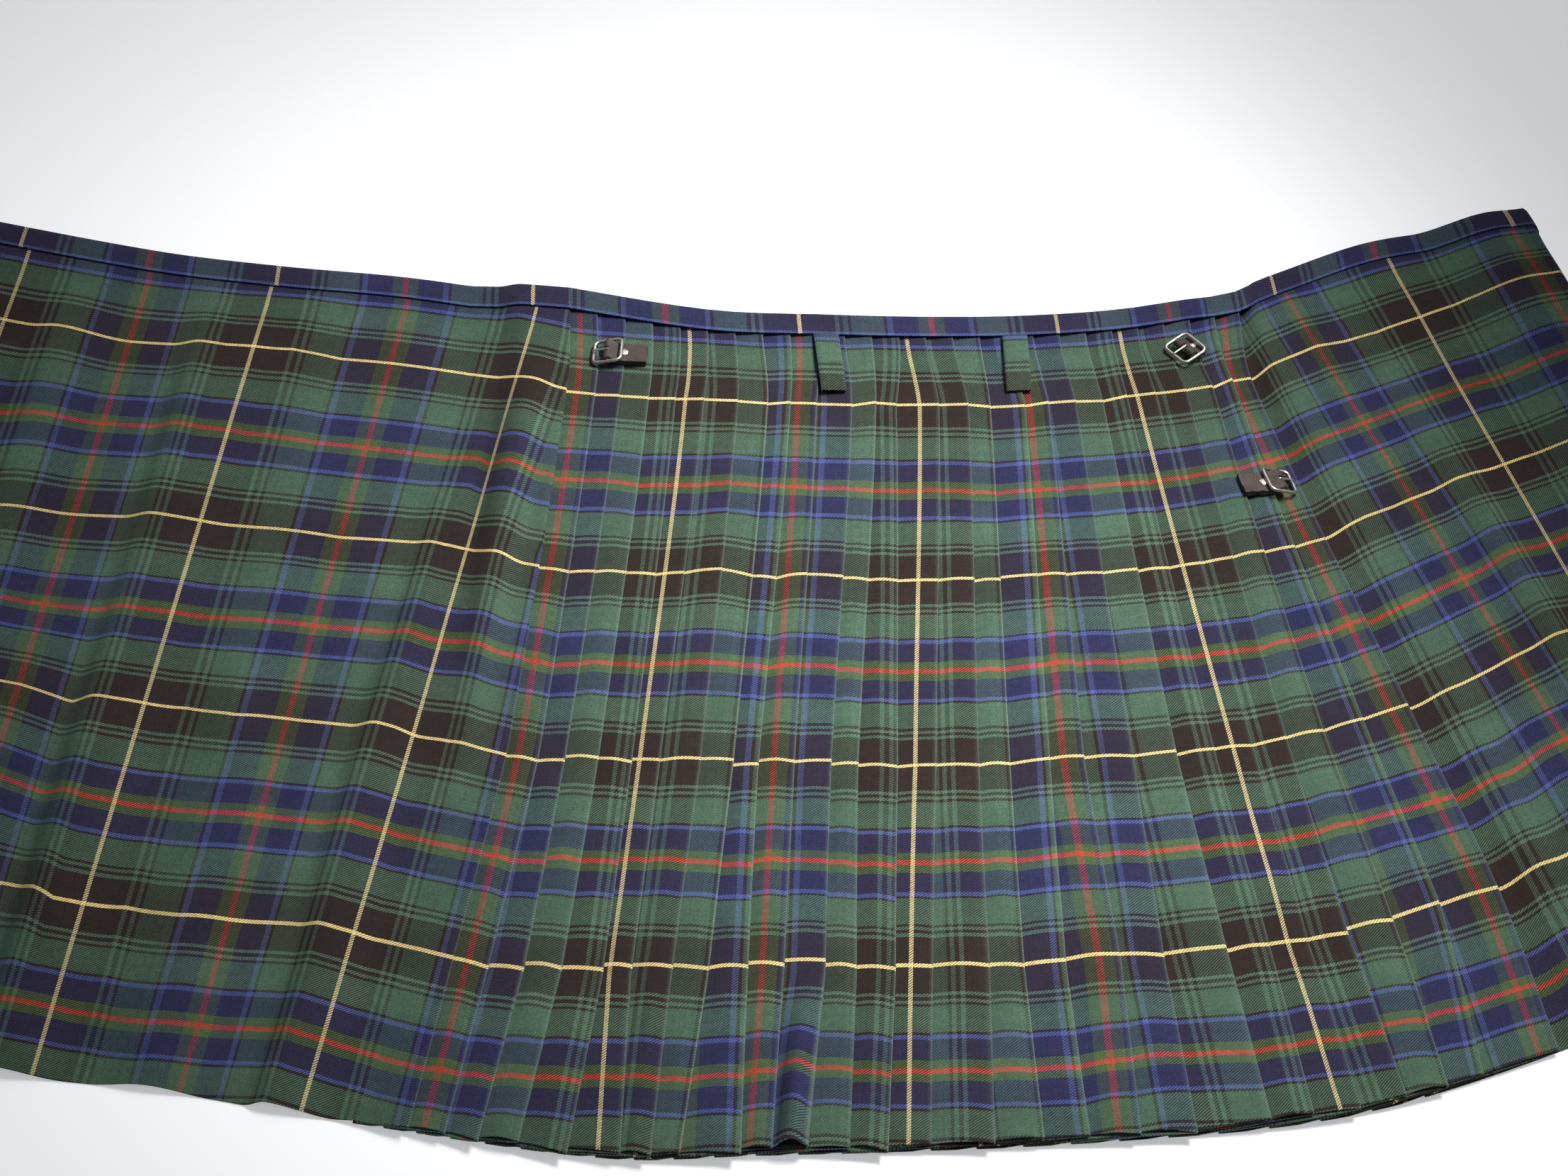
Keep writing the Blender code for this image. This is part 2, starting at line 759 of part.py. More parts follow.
def over_strap(name, v, leather, kilt):
    """A strap sewn on the over apron's free edge, lying out on the table."""
    edge = WARPS[0][1] * MM
    root = 24 * MM
    x, y = plan(edge, v)
    inner_x, inner_y = plan(edge + root, v)
    out = Vector((x - inner_x, y - inner_y, 0)).normalized()
    start = Vector((inner_x, inner_y, 0))
    path = []
    for along in (0, 8, 16, 27):
        across = edge + root - along * MM
        levels = (v - STRAP_WIDE / 2, v, v + STRAP_WIDE / 2)
        cloth = max(table_at(level) + fold_lift(across, level, OVER_FOLDS) for level in levels)
        height = cloth + CLOTH / 2 + GAP + STRAP_LEATHER / 2 + SEAT
        path.append(start + out * along * MM + Vector((0, 0, height)))
    for along in (42 * MM, 80 * MM, STRAP_LONG - 12 * MM, STRAP_LONG):
        path.append(start + out * along + Vector((0, 0, STRAP_LEATHER / 2)))
    return strap(name, path, leather, kilt, 24 * MM)


def under_strap(name, v, leather, kilt):
    """The strap on the under apron's turned-under edge, laid back over that layer."""
    free = WARPS[-1][1] * MM - TURNED_UNDER
    x, y = plan(free, v)
    far_x, far_y = plan(free + 60 * MM, v)
    inward = Vector((far_x - x, far_y - y, 0)).normalized()
    low = table_at(v) + CLOTH / 2 + GAP + STRAP_LEATHER / 2
    turn = (STRAP_LEATHER + GAP) / 2
    profile = [
        (22 * MM, low),
        (0, low),
        (-2 * MM, low),
        (-2 * MM - turn, low + turn),
        (-2 * MM, low + 2 * turn),
        (2 * MM, low + 2 * turn),
        (40 * MM, low + 2 * turn),
        (88 * MM, low + 2 * turn),
        (99 * MM, low + 2 * turn),
    ]
    path = [Vector((x, y, 0)) + inward * along + Vector((0, 0, height)) for along, height in profile]
    return strap(name, path, leather, kilt, 22 * MM)


def stand_on_origin(kilt):
    """Moves the whole kilt so that the middle of its underside is the origin."""
    graph = bpy.context.evaluated_depsgraph_get()
    corners = []
    for made in bpy.data.collections[COLLECTION].objects:
        if made.type == "MESH":
            solid = made.evaluated_get(graph)
            corners += [solid.matrix_world @ vertex.co for vertex in solid.data.vertices]
    low = Vector([min(corner[axis] for corner in corners) for axis in range(3)])
    high = Vector([max(corner[axis] for corner in corners) for axis in range(3)])
    kilt.location = (-(low.x + high.x) / 2, -(low.y + high.y) / 2, -low.z)


# Buckles: name, x, y, which way the prong points in degrees, length of tab, rivet's place and width
BUCKLES = [
    ("left_buckle", -94, 174, 177, 21, -8.5, 5.2),
    ("right_buckle", 214, 176, 217, 8.6, -5.4, 3.4),
    ("hip_buckle", 257, 72, 14, 21, -8.5, 5.2),
]

# Belt loops: name, x at the top, how far the lower end leans sideways
LOOPS = [("left_loop", 22.5, 4), ("right_loop", 123.5, 1)]


def build():
    clear_scene()
    collect(COLLECTION)
    helpers = collect(COLLECTION + "_helpers")
    helpers.hide_render = True
    tartan = material("tartan wool", (0.045, 0.075, 0.06), 0.9)
    metal = material("buckle steel", (0.78, 0.72, 0.66), 0.3, 1.0)
    leather = material("brown leather", (0.06, 0.045, 0.04), 0.7)

    kilt = bpy.data.objects.new("kilt", None)
    bpy.data.collections[COLLECTION].objects.link(kilt)
    sheet("over_apron", [over_row(v * MM) for v in LEVELS], CLOTH, tartan, kilt)
    sheet("pleated_back", [back_row(v * MM) for v in LEVELS], CLOTH, tartan, kilt)
    sheet("under_apron", [under_row(v * MM) for v in LEVELS], CLOTH, tartan, kilt)
    waistband(tartan, kilt)
    for name, x, lean in LOOPS:
        belt_loop(name, x * MM, lean * MM, tartan, kilt)
    for name, x, y, turn, back, rivet_x, rivet_wide in BUCKLES:
        buckle(
            name, x * MM, y * MM, turn, back * MM, rivet_x * MM, rivet_wide * MM, metal, leather, kilt
        )
    over_strap("over_waist_strap", 32 * MM, leather, kilt)
    over_strap("over_hip_strap", 165 * MM, leather, kilt)
    under_strap("under_strap", 44 * MM, leather, kilt)
    stand_on_origin(kilt)


build()
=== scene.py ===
import json
import math

import bpy
import numpy as np
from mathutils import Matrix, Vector


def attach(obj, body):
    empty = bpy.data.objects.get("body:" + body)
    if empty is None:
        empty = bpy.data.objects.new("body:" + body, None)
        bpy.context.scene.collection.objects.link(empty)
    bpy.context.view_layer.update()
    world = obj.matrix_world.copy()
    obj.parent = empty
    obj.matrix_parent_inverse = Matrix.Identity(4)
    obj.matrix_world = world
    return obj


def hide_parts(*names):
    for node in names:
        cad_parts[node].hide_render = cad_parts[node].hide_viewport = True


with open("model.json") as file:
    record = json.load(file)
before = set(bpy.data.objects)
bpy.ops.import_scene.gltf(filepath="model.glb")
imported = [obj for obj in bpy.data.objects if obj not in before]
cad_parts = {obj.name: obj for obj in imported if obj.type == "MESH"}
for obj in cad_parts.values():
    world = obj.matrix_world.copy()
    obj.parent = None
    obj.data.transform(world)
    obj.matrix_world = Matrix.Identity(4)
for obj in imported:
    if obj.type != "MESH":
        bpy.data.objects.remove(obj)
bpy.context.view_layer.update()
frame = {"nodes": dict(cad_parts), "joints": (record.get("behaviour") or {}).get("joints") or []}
print("frame loaded")

mm = 0.001
shift = np.array([35.113, 38.863, 0.0])    # from the pattern's own middle to the part's

# How the cloth lies, millimetres
cloth = {
    "length": 600,
    "pleats": 25,
    "thick": 0.65,
    "layer": 0.78,
    "rise": 1.56,
    "hiddenWaist": 2.9,       # depth of each hidden fold, in pleats
    "hiddenHem": 2.45,
    "solidRise": 2.6,
    "bandOutside": 16,
    "bandInside": 12,
    "liftEnds": 34,
    "turnedUnder": 155,
    "rows": 61,
}

# Lengthwise lines of the cloth: across, waist x, waist y, hem x, hem y
warpLines = [
    (-415, -476, 313, -563, -315),
    (-280, -344, 274, -412, -334),
    (-210, -277, 261, -348, -342),
    (-140, -202, 250, -279, -352),
    (-70, -131, 233, -222, -365),
    (70, -40, 210, -80, -392),
    (140, 21, 206, -10, -390),
    (210, 76, 204, 50, -388),
    (280, 130, 205, 156, -381),
    (350, 189, 212, 259, -366),
    (420, 232, 226, 357, -327),
    (490, 267, 247, 440, -280),
    (560, 326, 277, 474, -258),
    (640, 404, 290, 548, -215),
]

# Even spread of the pleats: below the waist, first crease x, last crease x, sag of the middle
pleatSpread = [
    (0, -116, 245, 3),
    (71, -115, 250, 4),
    (351, -135, 310, -21),
    (491, -149, 341, -30),
    (600, -161, 358, -32),
]

# Each crease off the even spread at hip, mid length, knee and hem, then how low its hem hangs
creaseStrays = [
    (0, -1, -7, -11, 2),
    (0, 0, -5, -10, 2),
    (-2, -2, -4, -11, 4),
    (-2, -1, -2, -9, 1),
    (-3, 0, 1, -4, 5),
    (-3, -2, -2, 3, 2),
    (0, 2, 0, -1, 3),
    (1, 2, 0, -6, 1),
    (-2, -2, 1, 3, 5),
    (-3, -1, 0, -2, 1),
    (1, 0, 1, -5, 2),
    (-1, -4, -3, -6, 2),
    (-5, -2, -4, -9, 5),
    (3, -1, -6, -10, 1),
    (4, 2, 1, -2, 3),
    (1, -1, -3, -1, 1),
    (5, 0, -4, -2, 1),
    (3, -2, 1, -1, 3),
    (3, 3, 0, 2, 4),
    (3, 5, 8, 13, 1),
    (2, 4, 6, 9, 1),
    (3, 3, 2, 7, 3),
    (5, 0, -2, 4, 1),
    (5, -2, -3, -1, 3),
    (3, -2, -3, -9, 1),
    (-1, 1, 2, 2, 2),
]
strayLevels = [0, 25, 71, 351, 491, 600]

# The sett of the tartan: distance from the nearest red line, then its colour
sett = {
    "half": 70,
    "thread": 0.425,
    "pleatStart": 27,         # where the pattern stands at crease 0
    "pleatStep": -17.5,       # how far it moves on from one crease to the next
    "stripes": [
        (0.0, "red"),
        (1.4, "olive"),
        (7.0, "navy"),
        (20.6, "blue"),
        (23.3, "black"),
        (25.0, "green"),
        (42.4, "black"),
        (44.3, "lightGreen"),
        (46.6, "black"),
        (48.7, "lightGreen"),
        (51.0, "black"),
        (68.65, "yellow"),
    ],
    "warp": {
        "red": (160, 66, 58), "olive": (72, 88, 60), "green": (74, 97, 82), "navy": (44, 44, 76),
        "blue": (80, 92, 140), "black": (46, 38, 36), "lightGreen": (84, 106, 90),
        "yellow": (206, 188, 142),
    },
    "weft": {
        "red": (176, 64, 52), "olive": (72, 92, 60), "green": (72, 96, 80), "navy": (44, 44, 76),
        "blue": (74, 86, 142), "black": (46, 38, 36), "lightGreen": (82, 104, 88),
        "yellow": (226, 200, 136),
    },
}


def clearSelection():
    if bpy.context.mode != "OBJECT":
        bpy.ops.object.mode_set(mode="OBJECT")
    bpy.ops.object.select_all(action="DESELECT")


def linear(colour):
    return tuple(((c / 255 + 0.055) / 1.055) ** 2.4 for c in colour) + (1.0,)


class Flow:    # a socket that takes part in Python sums
    def __init__(self, tree, socket=None):
        self.tree = tree
        self.socket = socket

    def node(self, kind, settings=(), inputs=(), output=0):
        made = self.tree.nodes.new(kind)
        for name, value in dict(settings).items():
            if name == "stops":
                ramp = made.color_ramp
                for place, colour in value[2:]:
                    ramp.elements.new(place)
                for element, (place, colour) in zip(ramp.elements, sorted(value)):
                    element.position = place
                    element.color = colour
            elif name == "interpolation" and hasattr(made, "color_ramp"):
                made.color_ramp.interpolation = value
            else:
                setattr(made, name, value)
        for name, value in dict(inputs).items():
            if isinstance(value, Flow):
                self.tree.links.new(value.socket, made.inputs[name])
            else:
                made.inputs[name].default_value = value
        return Flow(self.tree, made.outputs[output])

    def maths(self, operation, *values):
        return self.node("ShaderNodeMath", {"operation": operation}, dict(enumerate(values)))

    def __add__(self, other):
        return self.maths("ADD", self, other)

    def __radd__(self, other):
        return self.maths("ADD", other, self)

    def __sub__(self, other):
        return self.maths("SUBTRACT", self, other)

    def __rsub__(self, other):
        return self.maths("SUBTRACT", other, self)

    def __mul__(self, other):
        return self.maths("MULTIPLY", self, other)

    def __rmul__(self, other):
        return self.maths("MULTIPLY", other, self)

    def __truediv__(self, other):
        return self.maths("DIVIDE", self, other)

    def __rtruediv__(self, other):
        return self.maths("DIVIDE", other, self)

    def between(self, low, high):
        return self.node(
            "ShaderNodeMapRange", {"interpolation_type": "SMOOTHSTEP"},
            {"Value": self, "From Min": low, "From Max": high},
        )

    def mixed(self, first, second):
        return self.node(
            "ShaderNodeMix", {"data_type": "RGBA"}, {0: self, 6: first, 7: second}, 2
        )


def startFinish(name, roughness, metallic=0.0, sheen=0.0, specular=0.5):
    made = bpy.data.materials.new(name)
    made.use_nodes = True
    shader = made.node_tree.nodes["Principled BSDF"]
    shader.inputs["Roughness"].default_value = roughness
    shader.inputs["Metallic"].default_value = metallic
    shader.inputs["Sheen Weight"].default_value = sheen
    shader.inputs["Sheen Roughness"].default_value = 0.6
    shader.inputs["Specular IOR Level"].default_value = specular
    return made, shader, Flow(made.node_tree)


def feed(shader, **flows):
    for name, flow in flows.items():
        flow.tree.links.new(flow.socket, shader.inputs[name.replace("_", " ")])


def stripeStops(colours):
    stops = []
    for place, name in sett["stripes"]:
        stops.append((place / sett["half"], linear(colours[name])))
    return stops


def tartanFinish():
    made, shader, root = startFinish("tartan wool", 0.88, 0.0, 0.02, 0.08)
    thread = sett["thread"]
    place = root.node("ShaderNodeUVMap", {"uv_map": "UVMap"})
    apart = root.node("ShaderNodeSeparateXYZ", {}, {0: place})
    warp = apart * 1000
    weft = root.node("ShaderNodeSeparateXYZ", {}, {0: place}, 1) * 1000
    warpThread = (warp / thread).maths("FLOOR", warp / thread)
    weftThread = (weft / thread).maths("FLOOR", weft / thread)

    def stripe(number, colours):
        turn = number.maths("PINGPONG", (number + 0.5) * thread, sett["half"])
        ramp = number.node(
            "ShaderNodeValToRGB",
            {"stops": stripeStops(colours), "interpolation": "CONSTANT"},
            {0: turn / sett["half"]},
        )
        return turn, ramp

    warpTurn, warpColour = stripe(warpThread, sett["warp"])
    weftTurn, weftColour = stripe(weftThread, sett["weft"])

    # Two over, two under: the weft shows along lines that climb to the right
    climb = root.maths("PINGPONG", warp + weft, 2 * thread)
    yellow = weftTurn.between(sett["half"] - 1.6, sett["half"] - 1.2)
    upright = warpTurn.between(sett["half"] - 1.6, sett["half"] - 1.2)
    lean = climb + (yellow - upright) * (0.35 * thread)
    shows = lean.between(thread * 0.35, thread * 1.25)
    woven = shows.mixed(warpColour, weftColour)

    # Single threads differ a little, and the nap blurs them
    warpShade = root.node("ShaderNodeTexWhiteNoise", {"noise_dimensions": "1D"}, {"W": warpThread})
    weftShade = root.node("ShaderNodeTexWhiteNoise", {"noise_dimensions": "1D"}, {"W": weftThread})
    spun = (warpShade + weftShade) * 0.12 + 0.88
    nap = root.node(
        "ShaderNodeTexNoise", {"noise_dimensions": "3D"},
        {"Vector": place, "Scale": 1500.0, "Detail": 3.0, "Roughness": 0.65},
    )
    blotch = root.node(
        "ShaderNodeTexNoise", {"noise_dimensions": "3D"},
        {"Vector": place, "Scale": 26.0, "Detail": 4.0, "Roughness": 0.6},
    )
    fuzz = root.node(
        "ShaderNodeTexNoise", {"noise_dimensions": "3D"},
        {"Vector": place, "Scale": 420.0, "Detail": 2.0, "Roughness": 0.7, "Distortion": 1.6},
    )
    # painted shade: the colour darkens along the grooves between the twill's ribs
    ribShade = climb.between(thread * 0.2, thread * 1.8) * 0.22 + 0.89
    shade = spun * (nap * 1.3 + 0.35) * (blotch * 0.6 + 0.7) * (fuzz * 0.9 + 0.55) * ribShade
    dyedAndRibShaded = root.node(
        "ShaderNodeMix", {"data_type": "RGBA", "blend_type": "MULTIPLY"},
        {0: 1.0, 6: woven, 7: shade}, 2,
    )

    # Pressed edges are painted pale: partly rubbed wear, partly a painted highlight where light catches
    # the fold
    rubbed = root.node("ShaderNodeAttribute", {"attribute_name": "rubbed"}, {}, 2)
    wearAndHighlightMix = (rubbed * (nap * 0.8 + 0.25)).between(0.1, 1.0) * 0.4
    finished = wearAndHighlightMix.mixed(dyedAndRibShaded, linear((128, 150, 140)))
    relief = climb.between(thread * 0.3, thread * 1.7) * 0.4 + nap
    bump = root.node(
        "ShaderNodeBump", {}, {"Height": relief, "Strength": 0.45, "Distance": 0.00025}
    )
    feed(shader, Base_Color=finished, Normal=bump, Roughness=blotch * 0.12 + 0.8)
    return made


def leatherFinish():
    made, shader, root = startFinish("brown leather", 0.55, 0.0, 0.0, 0.5)
    place = root.node("ShaderNodeTexCoord", {}, {}, 3)
    grain = root.node(
        "ShaderNodeTexVoronoi", {"feature": "F1"}, {"Vector": place, "Scale": 1900.0}
    )
    cracks = root.node(
        "ShaderNodeTexNoise", {}, {"Vector": place, "Scale": 420.0, "Detail": 5.0, "Roughness": 0.7}
    )
    wear = root.node(
        "ShaderNodeTexNoise", {}, {"Vector": place, "Scale": 120.0, "Detail": 3.0}
    )
    tone = (grain * 0.5 + cracks * 0.5 + wear * 0.45 - 0.35).between(0.1, 0.9)
    colour = tone.mixed(linear((40, 31, 30)), linear((96, 78, 70)))
    bump = root.node(
        "ShaderNodeBump", {}, {"Height": grain * 0.6 + cracks, "Strength": 0.6, "Distance": 0.0003}
    )
    feed(shader, Base_Color=colour, Normal=bump, Roughness=cracks * 0.35 + 0.38)
    return made


def steelFinish():
    made, shader, root = startFinish("buckle steel", 0.3, 1.0)
    place = root.node("ShaderNodeTexCoord", {}, {}, 3)
    tarnish = root.node(
        "ShaderNodeTexNoise", {}, {"Vector": place, "Scale": 260.0, "Detail": 4.0, "Roughness": 0.6}
    )
    scratches = root.node(
        "ShaderNodeTexNoise", {}, {"Vector": place, "Scale": 2600.0, "Detail": 2.0}
    )
    colour = tarnish.between(0.35, 0.75).mixed(linear((246, 238, 230)), linear((214, 200, 190)))
    bump = root.node(
        "ShaderNodeBump", {}, {"Height": scratches, "Strength": 0.12, "Distance": 0.0001}
    )
    feed(shader, Base_Color=colour, Normal=bump, Roughness=tarnish * 0.3 + 0.16)
    return made


tartan = tartanFinish()
leather = leatherFinish()
steel = steelFinish()
print("finishes mixed")


def smoothStep(x, low, high):
    f = np.clip((np.asarray(x, float) - low) / (high - low), 0.0, 1.0)
    return f * f * (3 - 2 * f)


def smoothCurve(x, xs, ys):
    xs, ys, x = np.asarray(xs, float), np.asarray(ys, float), np.asarray(x, float)
    count = len(xs)
    low = np.maximum(np.arange(count) - 1, 0)
    high = np.minimum(np.arange(count) + 1, count - 1)
    slopes = (ys[high] - ys[low]) / (xs[high] - xs[low])
    i = np.clip(np.searchsorted(xs, x) - 1, 0, count - 2)
    step = xs[i + 1] - xs[i]
    f = (x - xs[i]) / step
    g = np.clip(f, 0, 1)
    curve = (1 + 2 * g) * (1 - g) ** 2 * ys[i] + g * g * (3 - 2 * g) * ys[i + 1]
    curve += step * (g * (1 - g) ** 2 * slopes[i] - g * g * (1 - g) * slopes[i + 1])
    return curve + step * (np.minimum(f, 0) * slopes[i] + np.maximum(f - 1, 0) * slopes[i + 1])


def warpsAt(v):
    lines = np.array(warpLines, float)
    f = v / cloth["length"]
    return lines[:, 0], lines[:, 1] * (1 - f) + lines[:, 3] * f, lines[:, 2] * (1 - f) + lines[:, 4] * f


def planX(across, v):
    places, xs, _ = warpsAt(v)
    return smoothCurve(across, places, xs)


def planY(across, v):
    places, _, ys = warpsAt(v)
    return smoothCurve(across, places, ys)


def yAt(x, v):
    _, xs, ys = warpsAt(v)
    return smoothCurve(x, xs, ys)


def acrossAt(x, v):
    places, xs, _ = warpsAt(v)
    return smoothCurve(x, xs, places)


def evenX(number, v):
    levels = [row[0] for row in pleatSpread]
    first, last, sag = (smoothCurve(v, levels, [row[c] for row in pleatSpread]) for c in (1, 2, 3))
    f = np.asarray(number, float) / cloth["pleats"]
    return first + (last - first) * f + 4 * sag * f * (1 - f)


def creasePlace(number, v):
    row = creaseStrays[number]
    stray = np.interp(v, strayLevels, [0, 0, row[0], row[1], row[2], row[3]])
    pitch = evenX(number + 0.5, v) - evenX(number - 0.5, v)
    return number + stray / pitch


def hemDrop(number, v):
    return creaseStrays[number][4] * smoothStep(v, 330, 600)


def hiddenAt(v):
    return cloth["hiddenWaist"] + (cloth["hiddenHem"] - cloth["hiddenWaist"]) * v / cloth["length"]


def tableAt(v):
    return 0.5 + 1.3 * (1 - smoothStep(v, cloth["bandOutside"], cloth["liftEnds"]))


def chance(*numbers):    # the same small unevenness in every run, from -1 to 1
    return math.sin(sum(n * w for n, w in zip(numbers, (12.99, 78.23, 37.72, 9.17))) * 3.7)


def faceHeight(number, step, v):
    step = np.asarray(step, float)
    rise = cloth["rise"]
    atTop = 1 - smoothStep(v, 110, 560)
    spring = 1.2 + (1.04 * (hiddenAt(v) + 1) - 1.2) * atTop
    under = cloth["pleats"] + 1 - number
    ceiling = 1.5 + (rise + (cloth["solidRise"] - rise) * atTop) * under
    low = rise * np.clip((step - 0.55) / 0.45, 0, 1)
    high = rise * step + spring * smoothStep(step, 1, 2.2)
    return np.minimum(np.where(step < 1, low, high), ceiling)


def creaseLift(number, v):    # creases that no thread holds spring up a little below the hips
    loose = 0.35 + 0.3 * chance(number, 2)
    lift = loose * smoothStep(v, 260, 560)
    if number == 10:
        lift += 3.2 * smoothStep(v, 470, 580)
    return lift


def bulge(number, v):
    high = (0.75 + 0.4 * chance(number, 5)) * smoothStep(v, 30, 300)
    high += 0.45 * chance(number, v / 90, 1) * smoothStep(v, 200, 450)
    if number == 10:
        high += 5.5 * smoothStep(v, 470, 582)
    return high


# Levels down the kilt at which the crosswise lines were measured, and how far they jump up
# from the left of a crease to its right at each
weftLevels = [0, 71, 141, 211, 281, 351, 421, 491, 561, 600]
weftJumps = {
    1: (0, 0, 0, 0, 0, 0, 0, 0, -2, -2),
    2: (0, 0, 0, 0, 1, 2.8, 1.8, 1.5, -1.3, -1.3),
    4: (0, 0, 0, 0, 1, 2, 1.2, 0, -1.8, -1.8),
    6: (0, 0, 0, 0, 0, 0, 0, -0.5, -2.8, -2.8),
    7: (0, 0, 0, 0, 0, -4, -1.5, 0, 0, 0),
    8: (0, 0, 0, 0, 0, 2.8, 1.5, -0.5, -2.5, -2.5),
    9: (0, 0, 0, 0, 0, 0, 1, 2.8, 1, 1),
    10: (0, 0, 0, -1, -2, -2.8, -1, -4.8, 1, 1),
    11: (0, 0, 0, 0, 0, -1.5, -0.5, -1.2, -3.7, -3.7),
    12: (0, 0, 0, 0, 0, 0, 2.3, -1, -2.7, -2.7),
    14: (0, 0, 0, -1.9, 0, 0, 0, -1, -1, -1),
    15: (0, 0, 0, 1.7, 0, 0, 0, 0, 0, 0),
    17: (0, 0, 0, -0.5, -1.4, -1, 0, -1.5, -2, -2),
    18: (0, 0, 0, 0, 0, 0, 0, -1.6, -4.6, -4.6),
    19: (0, 0, 0, -1.5, 0, -2.8, -2.4, -3.6, 0, 0),
    21: (0, 0, 0, 0, 0, 0, 0, -2, -3.6, -3.6),
    22: (0, 0, 0, 0, 0, 0, 0, 2.6, 4.2, 4.2),
    24: (0, 0, 0, 0, 0, 0, 0, -2.6, 0, 0),
}

# How much lower than the even pattern those lines lie: level, then at each place across
weftDrops = {
    "over": {    # places in the pattern
        "places": (-320, -280, -250, -225, -210, -190, -165, -140, -103, -80, -70, -55, -38, -17),
        0: (0, 0, 0, 0, 0, 0, 0, 0, 0, 0, 1, 3, 5, 5),
        71: (3, 3.5, 0, 0, -4, -6, 0, -1.5, -2, 1, 3.5, 6, 9.5, 9.5),
        141: (5, 1, -2, 0, -3.5, -4, 0, -1.5, -3, -4, 3, 6, 7, 10),
        211: (8, 3.5, 0, 0, -1, -1.5, 0, 0, -5, -2.5, -1.5, 3.5, 6, 8),
        281: (6, 3, 2, 3, 0, -1, 0, -2, -6, -2, -2, -2, 3, 5.5),
        351: (-11, -10, 0, 0, -2, -4, 0, -3, -6, -5.5, -4, -3, 0.5, 5),
        421: (-16, -16, -6, 0, -1.5, -3, 0, -4, -7, -5.5, -6.5, -5, -0.5, 2.5),
        491: (-14, -14, -13, 0, -1.5, -4.5, 0, -2.5, -8, -6, -6, -5, -2, 2),
        561: (-3, -3, -3, -3, -4, -4, 0, -3, -9, -6, -6, -5, -0.5, 3),
    },
    "back": {    # creases
        "places": range(26),
        0: (5, 4.5, 3, 2, 1) + (0,) * 21,
        71: (9.5, 8.5, 6, 4, 1.5, -1, -1, 1, -0.5, 0, 1, -2, -1,
             0, 0, 2, 2.5, 0.5, 0.5, 2, -0.5, 0, 2, 2, -2.5, -2),
        141: (10, 7, 4, 4.5, 1, -1.5, -5, -2.5, -2.5, -1.5, -1, 0, 0,
              0, 2, 3, 2, 2, 1.5, 1, 2, 1.5, 2, 2, -0.5, -2),
        211: (8, 7.5, 4, 1.5, 0, -4, -8, -2.5, -1, -4.5, -2, -0.5, 0,
              0.5, 1, 0, -1.5, -1, 0, 0, 0.5, 0, 0, 0, 0, -1),
        281: (6, 7.5, 3, -0.5, -2, -5.5, -7.5, -5.5, -3.5, -5.5, -3, -1.5, -0.5,
              0, -0.5, -0.5, -2.5, -3, -1, -1, 0, 0, 2, 1, 0, -3.5),
        351: (5, 5, 0.5, -3, -4, -6.5, -8.5, -5.5, -5.5, -5.5, -5, -4, -2,
              -2.5, -1, -1.5, -4, -4, -2, -1.5, -1.5, 0, -1, 0, -2, -3.5),
        421: (3, 4.5, 0.5, -2, -5.5, -7.5, -7.5, -5, -5.5, -7, -6, -4, -4,
              -3.5, -3.5, -3.5, -5.5, -4, -3.5, -3, -2.5, -1, -1, -1.5, -2, -1.5),
        491: (2.5, 4, 0, -1, -5.5, -7.5, -9, -6.5, -9, -8.5, -8.5, -5.5, -6,
              -5, -4, -3, -5, -7, -5, -3.5, -3, -3, -2.5, -3, -4.5, -4),
        561: (3.5, 3, 1, -0.5, -4.5, -7, -7, -5.5, -8, -10, -10, -9, -8,
              -6, -5.5, -4.5, -4.5, -8, -9.5, -4.5, -5.5, -5.5, -5, -5, -4.5, -6),
    },
    "under": {    # places across
        "places": (400, 455, 475, 490, 510, 530, 560, 590, 630),
        0: (-2, -2, -2, -2, 0, 0, 0, 0, 0),
        71: (-4, -5, -4.5, -5, 0, 3, 0, -7, -10),
        141: (-4, -6.5, -5, -4.5, -4, -1, -5.5, -7.5, -9),
        211: (-2.5, -6, -4.5, -5, -4.5, -2, -5, -9, -11),
        281: (-3, -2, -3.5, -3.5, -4.5, -4, -5, -8, -10),
        351: (-3, -2.5, -4, -6, -7, -4.5, -5, -8, -10),
        421: (-2, 0, -7, -7.5, -7.5, -5, -5, -8, -10),
        491: (-3, -4, -7, -7, -7, -5, -5, -7, -8),
        561: (-4, -3, -4, -5, -6, -5, -5, -7, -8),
    },
}


def weftDrop(panel, place, v):
    table = weftDrops[panel]
    measured = [level for level in weftLevels if level in table]
    row = [np.interp(v, measured, [table[level][i] for level in measured])
           for i in range(len(table["places"]))]
    return np.interp(place, list(table["places"]), row)


def weftJump(number, v):
    return np.interp(v, weftLevels, weftJumps[number]) if number in weftJumps else 0.0


def weftTilt(number, f, v):
    g = np.clip(f, 0, 1)
    straight = 0.85 * cloth["rise"] * (g - 0.5)
    jumps = weftJump(number, v) / 2 * g - weftJump(number - 1, v) / 2 * (1 - g)
    return straight + jumps + weftDrop("back", number - 1 + g, v)


def alongRow(x, v):    # running length of a row in the plane
    steps = np.hypot(np.diff(x), np.diff(yAt(x, v))) * np.sign(np.diff(x))
    return np.concatenate([[0.0], np.cumsum(steps)])


def alongCloth(x, y, z):    # running length of a row over its folds
    steps = np.hypot(np.hypot(np.diff(x), np.diff(y)), np.diff(z))
    return np.concatenate([[0.0], np.cumsum(steps)])


def roundCrease(x, z, radius):    # points round a fold's edge, and the cloth's length up to each
    turn = np.radians([50, 0, -50, -90])
    length = radius * (np.pi / 2 - turn)
    return x + radius * np.cos(turn), z - radius + radius * np.sin(turn), length


